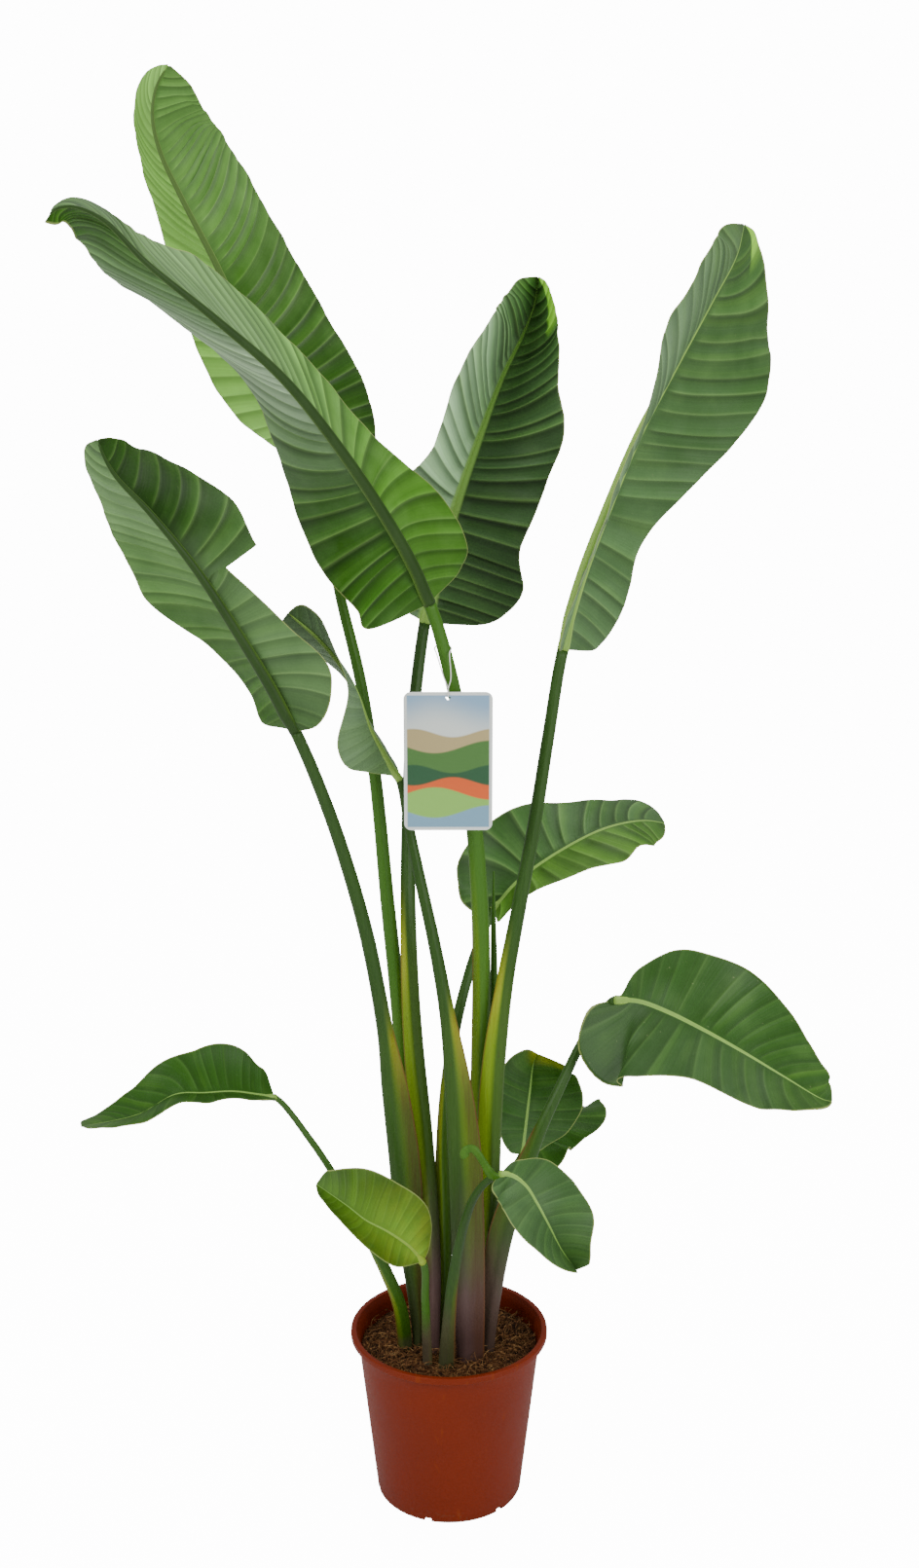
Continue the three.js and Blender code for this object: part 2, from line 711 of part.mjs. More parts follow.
function potGeometry() {
  const { rimRadius, height, footRadius, footRound, floor, wall, rimBand } = POT;
  const bandFoot = height - rimBand;
  const profile = [
    [0, 0],
    [footRadius - footRound, 0],
    [footRadius, footRound],
    [outerRadiusAt(bandFoot - 7), bandFoot - 7],
    [outerRadiusAt(bandFoot) + 4, bandFoot - 2],
    [rimRadius - 1, bandFoot],
    [rimRadius, bandFoot + 2],
    [rimRadius - 0.6, height - 1.5],
    [rimRadius - 3, height],
    [rimRadius - 6, height],
    [innerRadiusAt(bandFoot) + 2, height - 3],
    [innerRadiusAt(bandFoot), bandFoot - 2],
    [innerRadiusAt(floor + 3), floor + 3],
    [innerRadiusAt(floor) - wall, floor],
    [0, floor],
  ].map(([r, z]) => new THREE.Vector2(r, z));
  const shell = new THREE.LatheGeometry(profile, POT.sides).rotateX(Math.PI / 2);
  const drains = Array.from({ length: DRAIN.count }, (_, i) => (
    new THREE.BoxGeometry(DRAIN.width, DRAIN.reach, 2 * DRAIN.height)
      .translate(0, -footRadius, 0)
      .rotateZ(radians(DRAIN.first + (360 * i) / DRAIN.count))));
  return cut(shell, drains);
}

/** The soil: a lumpy top, a skin that follows the pot's inner wall, and a plain hole for each stalk. */
function soilGeometry(holes) {
  const { sides } = POT;
  const points = [];
  const ring = (radius, heightAt) => {
    for (let k = 0; k < sides; k += 1) {
      const angle = (2 * Math.PI * k) / sides;
      const [x, y] = [radius * Math.sin(angle), -radius * Math.cos(angle)];
      points.push(new THREE.Vector3(x, y, heightAt(x, y)));
    }
  };
  const surface = (x, y) => SOIL.level + SOIL.lump * (
    0.5 * Math.sin(x / 17 + 1) * Math.cos(y / 14)
    + 0.3 * Math.sin(y / 7.5 + x / 11) + 0.2 * Math.cos(x / 5.5));
  const edge = innerRadiusAt(SOIL.level) - GAP - 0.3;
  const bottom = POT.floor + GAP;
  for (let i = 1; i <= SOIL.rings; i += 1) ring((edge * i) / SOIL.rings, surface);
  ring(innerRadiusAt(POT.floor + 3) - GAP - 0.3, () => POT.floor + 3);
  ring(innerRadiusAt(POT.floor) - POT.wall - GAP - 0.3, () => bottom);
  const crown = points.push(new THREE.Vector3(0, 0, surface(0, 0))) - 1;
  const keel = points.push(new THREE.Vector3(0, 0, bottom)) - 1;
  const rings = SOIL.rings + 2;
  const triangles = [];
  for (let k = 0; k < sides; k += 1) {
    const next = (k + 1) % sides;
    triangles.push([crown, k, next]);
    for (let r = 0; r < rings - 1; r += 1) {
      const [a, b] = [r * sides, (r + 1) * sides];
      triangles.push([a + k, b + k, b + next], [a + k, b + next, a + next]);
    }
    const low = (rings - 1) * sides;
    triangles.push([keel, low + next, low + k]);
  }
  return cut(geometryFrom(points, triangles), holes);
}

// ---- Tag -----------------------------------------------------------------------------------

function tagGeometry() {
  const { width, height, corner, hole, holeDrop, thickness } = TAG;
  const [w, r] = [width / 2, corner];
  const card = new THREE.Shape();
  card.moveTo(-w + r, 0);
  card.lineTo(w - r, 0);
  card.absarc(w - r, -r, r, Math.PI / 2, 0, true);
  card.lineTo(w, -height + r);
  card.absarc(w - r, -height + r, r, 0, -Math.PI / 2, true);
  card.lineTo(-w + r, -height);
  card.absarc(-w + r, -height + r, r, -Math.PI / 2, -Math.PI, true);
  card.lineTo(-w, -r);
  card.absarc(-w + r, -r, r, Math.PI, Math.PI / 2, true);
  card.holes.push(new THREE.Path().absarc(0, -holeDrop, hole, 0, 2 * Math.PI));
  return new THREE.ExtrudeGeometry(card, { depth: thickness, bevelEnabled: false, curveSegments: 5 })
    .rotateX(Math.PI / 2)
    .translate(TAG_CENTRE.x, TAG_CENTRE.y + thickness / 2, TAG_CENTRE.top);
}

/** The tie: one closed loop of thin wire round the stalk and through the tag's hole. */
function tieGeometry() {
  const radius = TIE.wire / 2;
  const [x, y, z] = TIE.around;
  const hold = TIE.stalkRadius + GAP + radius;
  const stand = TAG.thickness / 2 + GAP + radius;
  const under = TAG_CENTRE.top - TAG.holeDrop + 0.3;
  const crossing = TAG_CENTRE.top + 3;
  const route = [
    [x, y + hold, z + 3],
    [x + 0.71 * hold, y + 0.71 * hold, z + 2],
    [x + hold, y, z],
    [x + 0.8 * hold, y - 0.85 * hold, z - 3],
    [TAG_CENTRE.x + 3, TAG_CENTRE.y - stand - 0.5, crossing + 12],
    [TAG_CENTRE.x, TAG_CENTRE.y - stand, crossing],
    [TAG_CENTRE.x, TAG_CENTRE.y - stand, under + 0.3],
    [TAG_CENTRE.x, TAG_CENTRE.y, under],
    [TAG_CENTRE.x, TAG_CENTRE.y + stand, under + 0.3],
    [TAG_CENTRE.x, TAG_CENTRE.y + stand, crossing],
    [TAG_CENTRE.x - 5, TAG_CENTRE.y + stand, crossing + 14],
    [x - 0.8 * hold, y - 0.85 * hold, z - 3],
    [x - hold, y, z],
    [x - 0.71 * hold, y + 0.71 * hold, z + 2],
  ];
  const curve = new THREE.CatmullRomCurve3(route.map(vector), true, 'centripetal');
  const { binormals, normals } = curve.computeFrenetFrames(TIE.steps, true);
  const rings = Array.from({ length: TIE.steps }, (_, i) => {
    const centre = curve.getPointAt(i / TIE.steps);
    return Array.from({ length: TIE.sides }, (__, k) => {
      const angle = (2 * Math.PI * k) / TIE.sides;
      return centre.clone()
        .addScaledVector(normals[i], radius * Math.cos(angle))
        .addScaledVector(binormals[i], radius * Math.sin(angle));
    });
  });
  return loft(rings, true);
}

// ---- The plant -----------------------------------------------------------------------------

const plant = new THREE.Group();

function place(name, geometry, material) {
  const mesh = new THREE.Mesh(geometry, material);
  mesh.name = name;
  plant.add(mesh);
}

const stalks = [...LEAVES.map(routeToRib), SPEAR];

place('pot', potGeometry(), FINISH.pot);
place('soil', soilGeometry(stalks.map((stalk) => stalkGeometry(stalk, GAP))), FINISH.soil);
for (const leaf of LEAVES) {
  place(`${leaf.name}_stalk`, stalkGeometry(routeToRib(leaf)), FINISH.stalk);
  place(
    `${leaf.name}_blade`,
    bladeGeometry(leaf),
    leaf.name === 'leaf_front_yellowing' ? FINISH.palm : FINISH.blade,
  );
}
place(SPEAR.name, stalkGeometry(SPEAR), FINISH.spear);
place('hang_tag', tagGeometry(), FINISH.tag);
place('tag_tie', tieGeometry(), FINISH.tie);

export default plant;
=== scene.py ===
import math

import bpy
import numpy as np
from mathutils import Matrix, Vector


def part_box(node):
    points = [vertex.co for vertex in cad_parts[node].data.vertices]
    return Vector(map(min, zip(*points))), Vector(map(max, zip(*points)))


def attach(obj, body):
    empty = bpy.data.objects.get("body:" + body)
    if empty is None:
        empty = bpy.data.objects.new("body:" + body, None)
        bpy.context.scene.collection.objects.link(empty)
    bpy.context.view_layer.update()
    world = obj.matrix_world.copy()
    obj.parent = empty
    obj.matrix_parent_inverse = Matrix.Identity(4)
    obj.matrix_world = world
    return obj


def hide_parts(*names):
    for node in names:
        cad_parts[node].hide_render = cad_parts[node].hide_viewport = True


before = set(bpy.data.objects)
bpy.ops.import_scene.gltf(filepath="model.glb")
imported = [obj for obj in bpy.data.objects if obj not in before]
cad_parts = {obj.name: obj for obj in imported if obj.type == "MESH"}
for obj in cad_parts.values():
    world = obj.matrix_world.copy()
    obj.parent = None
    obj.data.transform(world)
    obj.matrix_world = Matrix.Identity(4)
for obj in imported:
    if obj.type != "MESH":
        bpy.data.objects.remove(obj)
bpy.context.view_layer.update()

# The potted bird of paradise: pleated paddle leaves on sheathing stalks, in a plastic nursery pot.
# Sizes are millimetres, as in the part's source, and become metres where a mesh is made.

MM = 0.001


# ---- Camera, light and floor ---------------------------------------------------------------------

PHOTO_HEIGHT = 1611  # pixels
EYE = {"away": 2.2, "height": 1.5, "down": 15.2, "right": 0.333, "focal": 2065}  # m, degrees, pixels
SENSOR = 36.0  # mm


def place_camera():
    lens = bpy.data.cameras.new("photo_view")
    lens.sensor_width = SENSOR
    lens.lens = EYE["focal"] / PHOTO_HEIGHT * SENSOR
    camera = bpy.data.objects.new("photo_view", lens)
    camera.location = (0, -EYE["away"], EYE["height"])
    camera.rotation_euler = (math.radians(90 - EYE["down"]), 0, -math.radians(EYE["right"]))
    bpy.context.scene.collection.objects.link(camera)
    bpy.context.scene.camera = camera


def softbox(name, place, aim, size, watts):
    light = bpy.data.lights.new(name, "AREA")
    light.shape = "RECTANGLE"
    light.size, light.size_y = size
    light.energy = watts
    lamp = bpy.data.objects.new(name, light)
    lamp.location = place
    way = np.array(aim, float) - np.array(place, float)
    lamp.rotation_euler = (
        math.atan2(math.hypot(way[0], way[1]), -way[2]), 0, math.atan2(way[1], way[0]) - math.pi / 2)
    lamp.visible_camera = False
    bpy.context.scene.collection.objects.link(lamp)


STUDIO_LIGHT = 0.5  # strength of the white all round, as it lights the plant
SEEN_WHITE = 14.0  # the same white as the camera sees it
FLOOR_HALF = 30.0  # m
GLOW_LIFT = 0.0004  # m
PALE = (0.86, 0.86, 0.86)


def set_stage():
    softbox("high_left", (-2.2, -1.8, 2.4), (0, 0, 0.9), (1.6, 1.6), 50)
    softbox("front_right", (2.0, -2.2, 1.6), (0, 0, 1.1), (1.6, 1.6), 45)
    softbox("overhead", (0.2, 0.4, 3.4), (0, 0, 0.8), (1.8, 1.8), 35)
    world = bpy.data.worlds.new("white_studio")
    bpy.context.scene.world = world
    world.use_nodes = True
    air = world.node_tree.nodes["Background"]
    air.inputs["Color"].default_value = (1.0, 1.0, 1.0, 1)
    tree = Tree(world.node_tree)
    seen = tree.add("ShaderNodeLightPath")
    light = seen * (SEEN_WHITE - STUDIO_LIGHT) + STUDIO_LIGHT
    world.node_tree.links.new(light.socket, air.inputs["Strength"])
    floor = bpy.data.meshes.new("floor")
    square = [(FLOOR_HALF * x, FLOOR_HALF * y, 0) for x, y in ((-1, -1), (1, -1), (1, 1), (-1, 1))]
    floor.from_pydata(square, [], [(0, 1, 2, 3)])
    floor.materials.append(plain_finish("pale_floor", PALE, 0.9))
    ground = bpy.data.objects.new("floor", floor)
    bpy.context.scene.collection.objects.link(ground)
    haze = ground.copy()
    haze.data = floor.copy()
    haze.name = "floor_glow"
    haze.data.name = "floor_glow"
    haze.data.materials[0] = glow_finish()
    haze.location.z = GLOW_LIFT
    for rays in ("diffuse", "glossy", "transmission", "volume_scatter", "shadow"):
        setattr(haze, "visible_" + rays, False)
    bpy.context.scene.collection.objects.link(haze)


def glow_finish():
    """Brightens the floor that the camera sees, without lighting the plant from below."""
    finish = Finish("floor_glow")
    tree = finish.tree
    clear = tree.nodes.new("ShaderNodeBsdfTransparent")
    white = tree.nodes.new("ShaderNodeEmission")
    white.inputs["Strength"].default_value = SEEN_WHITE - STUDIO_LIGHT
    both = tree.nodes.new("ShaderNodeAddShader")
    tree.links.new(clear.outputs[0], both.inputs[0])
    tree.links.new(white.outputs[0], both.inputs[1])
    tree.links.new(both.outputs[0], tree.nodes["Material Output"].inputs["Surface"])
    return finish.material


# ---- Node trees as expressions -------------------------------------------------------------------

class Socket:
    """A socket of a node tree. Sums, differences, products and quotients of it add Math nodes."""

    def __init__(self, tree, socket):
        self.tree = tree
        self.socket = socket

    def math(self, operation, *values):
        return self.tree.add("ShaderNodeMath", {"operation": operation}, dict(enumerate(values)))

    def __add__(self, other):
        return self.math("ADD", self, other)

    def __sub__(self, other):
        return self.math("SUBTRACT", self, other)

    def __rsub__(self, other):
        return self.math("SUBTRACT", other, self)

    def __mul__(self, other):
        return self.math("MULTIPLY", self, other)

    def __truediv__(self, other):
        return self.math("DIVIDE", self, other)

    __radd__ = __add__
    __rmul__ = __mul__

    def clipped(self):
        return self.math("MINIMUM", self.math("MAXIMUM", self, 0.0), 1.0)

    def rise(self, low, high):
        """0 below low, 1 above high, and smooth between; falls instead where low is above high."""
        return self.tree.add(
            "ShaderNodeMapRange", {"interpolation_type": "SMOOTHSTEP"},
            {"Value": self, "From Min": low, "From Max": high})


class Tree:
    """Adds nodes to a node tree, and links them."""

    def __init__(self, tree):
        self.tree = tree

    def add(self, kind, settings=None, values=None, output=0):
        node = self.tree.nodes.new(kind)
        for name, setting in (settings or {}).items():
            if name == "stops":
                self.set_stops(node.color_ramp, setting)
            else:
                setattr(node, name, setting)
        for key, value in (values or {}).items():
            if isinstance(value, Socket):
                self.tree.links.new(value.socket, node.inputs[key])
            else:
                node.inputs[key].default_value = value
        return Socket(self, node.outputs[output])

    @staticmethod
    def set_stops(ramp, stops):
        while len(ramp.elements) < len(stops):
            ramp.elements.new(1.0)
        for element, (place, colour) in zip(ramp.elements, stops):
            element.position = place
            element.color = (*colour, 1)


class Finish(Tree):
    """A material's tree, with one Principled shader."""

    def __init__(self, name, **constants):
        self.material = bpy.data.materials.new(name)
        self.material.use_nodes = True
        super().__init__(self.material.node_tree)
        self.shader = self.tree.nodes["Principled BSDF"]
        for key, value in constants.items():
            self.shader.inputs[key.replace("_", " ")].default_value = value

    def feed(self, **sockets):
        for key, value in sockets.items():
            self.tree.links.new(value.socket, self.shader.inputs[key.replace("_", " ")])
        return self.material

    def mark(self, name):
        """A value that the mesh holds at each point."""
        return self.add("ShaderNodeAttribute", {"attribute_name": name}, output=2)

    def place(self):
        return self.add("ShaderNodeTexCoord", output=3)

    def axis(self, name):
        return self.add("ShaderNodeSeparateXYZ", {}, {0: self.place()}, output="XYZ".index(name))

    def mix(self, factor, first, second):
        first, second = (c if isinstance(c, Socket) else (*c, 1) for c in (first, second))
        return self.add("ShaderNodeMix", {"data_type": "RGBA"}, {0: factor, 6: first, 7: second}, output=2)

    def stretched(self, scale):
        return self.add("ShaderNodeMapping", {}, {"Vector": self.place(), "Scale": scale})

    def noise(self, size, detail=3.0, vector=None):
        """Noise from 0 to 1 whose lumps are size metres."""
        values = {"Vector": vector or self.place(), "Scale": 1 / size, "Detail": detail}
        return self.add("ShaderNodeTexNoise", {}, values)

    def streaks(self, along, spacing, detail=2.0):
        """Noise along one line, in lines spacing metres apart."""
        values = {"W": along, "Scale": 1 / spacing, "Detail": detail}
        return self.add("ShaderNodeTexNoise", {"noise_dimensions": "1D"}, values)

    def bump(self, height, depth, over=None):
        """A bump whose height 1 stands depth metres out."""
        values = {"Height": height, "Distance": depth, "Strength": 1.0}
        if over:
            values["Normal"] = over
        return self.add("ShaderNodeBump", {}, values)


def tone(code):
    """A colour from its screen code, such as "3c5f2b"."""
    levels = [int(code[i:i + 2], 16) / 255 for i in (0, 2, 4)]
    return tuple(v / 12.92 if v <= 0.04045 else ((v + 0.055) / 1.055) ** 2.4 for v in levels)


def plain_finish(name, colour, roughness):
    finish = Finish(name, Roughness=roughness)
    grain = finish.noise(0.4, 2.0)
    shade = finish.mix(grain, tuple(0.985 * c for c in colour), colour)
    return finish.feed(Base_Color=shade)


# ---- Finishes ------------------------------------------------------------------------------------

def blade_finish(name, deep, sheen, lit, aged, rib, roughness, vein_depth):
    """A leaf's skin. The mesh marks how far it has a painted sheen, painted light shining through it and its
    own yellowing, and age; how bright painted light and shade make it, with its pleats' painted highlights
    and shade;
    and where its rib and its margin lie."""
    finish = Finish(name, Specular_IOR_Level=0.2)
    along = finish.mark("along")
    fine = finish.streaks(along, 0.0021, 3.0)
    broad = finish.streaks(along, 0.016, 1.0)
    mottle = finish.noise(0.05, 3.0)
    specks = finish.noise(0.006, 2.0).rise(0.72, 0.8)
    # Painted sheen: a grey-green reflection of the bright surroundings, painted into the colour.
    sheened = (finish.mark("sheened") + 0.25 * (mottle - 0.5)).clipped()
    colour = finish.mix(sheened, tone(deep), tone(sheen))
    # Painted light shining through the blade, towards a lighter yellow-green; on the yellowing leaf the same
    # mark paints its own yellowing.
    through_light_and_yellowing = (finish.mark("lit") + 0.35 * (mottle - 0.5) + 0.3 * (broad - 0.5)).clipped()
    colour = finish.mix(through_light_and_yellowing, colour, tone(lit))
    patchy = 0.9 * (finish.noise(0.022, 3.0) - 0.5) * finish.mark("aged").rise(0.0, 0.3)
    colour = finish.mix((finish.mark("aged") + patchy).clipped(), colour, tone(aged))
    # Painted light and shade: the shade mark brightens or darkens the colour, with the fine vein streaks.
    shade = finish.mark("shade") * (0.86 + 0.28 * fine)
    colour = finish.add("ShaderNodeVectorMath", {"operation": "SCALE"}, {0: colour, "Scale": shade})
    # A pale line along each vein: partly its own paler colour, partly a painted highlight on the crease.
    colour = finish.mix(0.3 * finish.mark("veined"), colour, tone("9cc870"))
    colour = finish.mix(0.25 * specks * finish.mark("scuffed"), colour, tone("b9c08c"))
    colour = finish.mix(finish.mark("rib").rise(0.25, 0.75) * 0.85, colour, tone(rib))
    edge = finish.mark("margin").rise(0.0016, 0.0003)
    colour = finish.mix(0.8 * edge, colour, tone("a9b86a"))
    rough = roughness + 0.18 * (mottle - 0.5) + 0.1 * finish.mark("lit")
    veins = finish.bump(fine + 0.5 * broad, vein_depth)
    leathery = finish.bump(finish.noise(0.0016, 2.0), 0.00006, over=veins)
    return finish.feed(Base_Color=colour, Roughness=rough, Normal=leathery)


def midrib_finish():
    finish = Finish("midrib", Specular_IOR_Level=0.25)
    above = finish.mark("above").rise(0.1, 0.6)
    # Painted shade: a darker line along the groove at the top of the rib.
    groove_shade = finish.mark("above").rise(0.93, 0.99)
    pale = finish.mix(groove_shade * 0.4, tone("a3cc60"), tone("70a038"))
    # On the rib, this mark is the yellow that the yellowing leaf's core gives it.
    pale = finish.mix(0.8 * finish.mark("lit"), pale, tone("a8b818"))
    pale = finish.mix(0.75 * finish.mark("dark_rib"), pale, tone("2f5210"))
    dark = finish.mix(finish.mark("dark_rib"), tone("7a9c48"), tone("1f3c0a"))
    colour = finish.mix(above, dark, pale)
    colour = finish.mix(0.25 * finish.noise(0.02, 3.0, finish.stretched((1, 1, 0.3))), colour, tone("55773a"))
    return finish.feed(Base_Color=colour, Roughness=0.42 + 0.1 * finish.noise(0.01))


def stalk_finish():
    """The stalks: green petioles, paler sheaths with a thin margin, and a purple-brown foot."""
    finish = Finish("stalk_skin", Specular_IOR_Level=0.3)
    fibre = finish.noise(0.0022, 3.0, finish.stretched((1, 1, 0.035)))
    cloud = finish.noise(0.045, 3.0, finish.stretched((1, 1, 0.35)))
    petiole = finish.mix(finish.mark("dark"), tone("3f7010"), tone("18360a"))
    petiole = finish.mix(0.25 * fibre, petiole, tone("5f8a38"))
    sheath = finish.mix(finish.mark("lime"), tone("2f5a0c"), tone("84a814"))
    wing = finish.mark("wing")
    colour = finish.mix(finish.mark("sheath") * (0.1 + 0.9 * wing.rise(0.1, 0.5)), petiole, sheath)
    foot = (finish.mark("foot") + 0.5 * (cloud - 0.5)).rise(0.3, 0.8)
    purple = finish.mix(cloud, tone("3f2c2c"), tone("6e5650"))
    colour = finish.mix(foot * finish.mark("purple"), colour, purple)
    broad = finish.mark("sheath").rise(0.3, 0.9)
    bronze = finish.mark("bronze") * broad * wing.rise(0.25, 0.7) * (0.6 + 0.8 * (fibre - 0.5))
    colour = finish.mix(bronze.clipped(), colour, tone("4f3018"))
    colour = finish.mix(finish.mark("ripe") * wing.rise(0.15, 0.6), colour, tone("c0c02c"))
    hem = finish.mark("hem").rise(0.0024, 0.0008) * broad * wing.rise(0.6, 0.9)
    colour = finish.mix(0.6 * hem, colour, tone("6e4222"))
    freckle = finish.noise(0.003, 2.0, finish.stretched((1, 1, 0.2))).rise(0.68, 0.76)
    colour = finish.mix(0.4 * freckle * finish.mark("sheath"), colour, tone("4d3524"))
    rough = 0.34 + 0.22 * fibre
    ribs = finish.bump(fibre, 0.00035)
    return finish.feed(Base_Color=colour, Roughness=rough, Normal=ribs)


def pot_finish():
    """Thin injection-moulded plastic: terracotta brown, with scuffs and dust."""
    finish = Finish("pot_plastic", Specular_IOR_Level=0.2)
    cloud = finish.noise(0.09, 3.0)
    rub = finish.noise(0.012, 4.0, finish.stretched((1, 1, 0.25))).rise(0.62, 0.75)
    colour = finish.mix(cloud, tone("6e1e00"), tone("7e2600"))
    colour = finish.mix(0.2 * rub, colour, tone("a04c14"))
    low = finish.axis("Z").rise(0.03, 0.0)
    dust = finish.noise(0.004, 3.0).rise(0.55, 0.7)
    colour = finish.mix(0.4 * low * dust, colour, tone("6b4a36"))
    rough = 0.38 + 0.2 * cloud + 0.15 * rub
    orange_peel = finish.bump(finish.noise(0.0011, 2.0), 0.00004)
    waves = finish.bump(finish.noise(0.03, 1.0), 0.0004, over=orange_peel)
    return finish.feed(Base_Color=colour, Roughness=rough, Normal=waves)


def mix_finish():
    finish = Finish("coco_mix", Roughness=0.95, Specular_IOR_Level=0.2)
    lumps = finish.noise(0.012, 4.0)
    strands = finish.noise(0.0022, 4.0, finish.stretched((1, 0.3, 1)))
    colour = finish.mix(lumps.rise(0.3, 0.7), tone("1d1008"), tone("583418"))
    colour = finish.mix(0.5 * strands.rise(0.55, 0.75), colour, tone("9a7448"))
    rough = finish.bump(strands + lumps, 0.0022)
    return finish.feed(Base_Color=colour, Normal=rough)


def fibre_finish():
    finish = Finish("coco_fibre", Roughness=0.85, Specular_IOR_Level=0.3)
    each = finish.noise(0.006, 1.0)
    browns = [(0.3, tone("2e1c10")), (0.45, tone("6b4526")), (0.6, tone("94683c")), (0.72, tone("bd9760"))]
    return finish.feed(Base_Color=finish.add("ShaderNodeValToRGB", {"stops": browns}, {0: each}))


def tag_finish():
    """A plain printed tag: wavy bands of sky, sand, orange and greens inside a pale border."""
    finish = Finish("tag_print", Roughness=0.28, Specular_IOR_Level=0.5)
    low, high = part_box("hang_tag")
    middle = (low.x + high.x) / 2
    across = (finish.axis("X") - middle) / (high.x - low.x)
    up = (finish.axis("Z") - low.z) / (high.z - low.z)
    sway = across.math("SINE", 7.0 * across + 1.2) * 0.03
    slant = across.math("SINE", 5.0 * across - 0.8) * 0.045
    colour = tone("dfe6df")
    for height, start, end, band in (
            (up + slant, 0.70, 0.98, "8fb2cf"),
            (up + sway, 0.715, 0.70, "b9a877"),
            (up - slant, 0.615, 0.60, "4f7a3c"),
            (up + sway, 0.455, 0.44, "2f5a3a"),
            (up - sway, 0.365, 0.35, "e2622c"),
            (up + slant, 0.275, 0.265, "8fc55a"),
            (up - slant, 0.145, 0.13, "7fa9c0")):
        colour = finish.mix(height.rise(start, end), colour, tone(band))
    sides = across.math("ABSOLUTE", across).rise(0.455, 0.47)
    ends = (up - 0.5).math("ABSOLUTE", up - 0.5).rise(0.472, 0.480)
    border = sides.math("MAXIMUM", sides, ends)
    colour = finish.mix(border, colour, tone("e9efe9"))
    normal = finish.add("ShaderNodeNewGeometry", output=1)
    towards_back = finish.add("ShaderNodeSeparateXYZ", {}, {0: normal}, output=1)
    printed = towards_back.rise(-0.2, -0.6)
    colour = finish.mix(printed, tone("eef0ea"), colour)
    gloss = finish.bump(finish.noise(0.02, 2.0), 0.00025)
    return finish.feed(Base_Color=colour, Normal=gloss)


def tie_finish():
    finish = Finish("tie_nylon", Specular_IOR_Level=0.5)
    colour = finish.mix(finish.noise(0.01, 2.0), tone("e9e8df"), tone("f6f5ef"))
    return finish.feed(Base_Color=colour, Roughness=0.35 + 0.1 * finish.noise(0.003))


# ---- Curves --------------------------------------------------------------------------------------

def smooth_through(xs, ys, x):
    """A smooth curve through the values ys at the places xs, read at x."""
    xs, ys = np.asarray(xs, float), np.asarray(ys, float)
    last = len(xs) - 1
    before = np.maximum(np.arange(last + 1) - 1, 0)
    after = np.minimum(np.arange(last + 1) + 1, last)
    slope = (ys[after] - ys[before]) / (xs[after] - xs[before])
    i = np.clip(np.searchsorted(xs, x, side="right") - 1, 0, last - 1)
    h = xs[i + 1] - xs[i]
    t = (x - xs[i]) / h
    s = 1 - t
    return (ys[i] * (1 + 2 * t) * s * s + slope[i] * h * t * s * s
            + ys[i + 1] * t * t * (3 - 2 * t) + slope[i + 1] * h * t * t * (t - 1))


def base_middle_tip(values, x):
    base, middle, tip = values
    return base * (1 - x) * (1 - 2 * x) + middle * 4 * x * (1 - x) + tip * x * (2 * x - 1)


def along_leaf(values, x):
    """A smooth curve through values spread evenly from the base to the tip."""
    return smooth_through(np.linspace(0, 1, len(values)), values, x)


def ease(low, high, x):
    t = np.clip((x - low) / (high - low), 0, 1)
    return t * t * (3 - 2 * t)


def unit(vectors):
    return vectors / np.linalg.norm(vectors, axis=-1, keepdims=True)


def spans_of(points):
    """The pieces of the smooth curve through the points: each one's ends and its slopes there."""
    p = np.array(points, float)
    p = np.vstack([2 * p[0] - p[1], p, 2 * p[-1] - p[-2]])
    for a, b, c, d in zip(p, p[1:], p[2:], p[3:]):
        ab, bc, cd = (np.linalg.norm(step) ** 0.5 for step in (b - a, c - b, d - c))
        start = ((b - a) / ab - (c - a) / (ab + bc) + (c - b) / bc) * bc
        end = ((c - b) / bc - (d - b) / (bc + cd) + (d - c) / cd) * bc
        yield b, c, start, end


def along_span(span, t):
    b, c, start, end = span
    t = t[:, None]
    return (b * (1 + 2 * t) * (1 - t) ** 2 + start * t * (1 - t) ** 2
            + c * t * t * (3 - 2 * t) + end * t * t * (t - 1))


def even_path(points, count, per_span=40):
    """Places and directions at even steps along the smooth curve through the points, and its length."""
    t = np.linspace(0, 1, per_span, endpoint=False)
    places = np.vstack([along_span(span, t) for span in spans_of(points)] + [np.array(points[-1:], float)])
    travelled = np.concatenate([[0], np.cumsum(np.linalg.norm(np.diff(places, axis=0), axis=1))])
    steps = np.linspace(0, travelled[-1], count)
    even = np.stack([np.interp(steps, travelled, places[:, k]) for k in range(3)], -1)
    return even, unit(np.gradient(even, axis=0)), travelled[-1]


# ---- Pieces --------------------------------------------------------------------------------------

def make_piece(name, points, faces, finishes, face_finish=None, marks=None):
    """A smooth-shaded mesh object from points in millimetres. marks are values at its points."""
    mesh = bpy.data.meshes.new(name)
    mesh.from_pydata((np.asarray(points) * MM).tolist(), [], [list(map(int, face)) for face in faces])
    for finish in finishes:
        mesh.materials.append(finish)
    if face_finish is not None:
        mesh.polygons.foreach_set("material_index", np.asarray(face_finish, np.int32))
    for mark, values in (marks or {}).items():
        layer = mesh.attributes.new(mark, "FLOAT", "POINT")
        layer.data.foreach_set("value", np.asarray(values, np.float32))
    mesh.polygons.foreach_set("use_smooth", np.ones(len(mesh.polygons), bool))
    mesh.update()
    piece = bpy.data.objects.new(name, mesh)
    bpy.context.scene.collection.objects.link(piece)
    return piece


def hold(piece, slot, *nodes):
    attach(piece, "root")
    if nodes:
        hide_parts(*nodes)


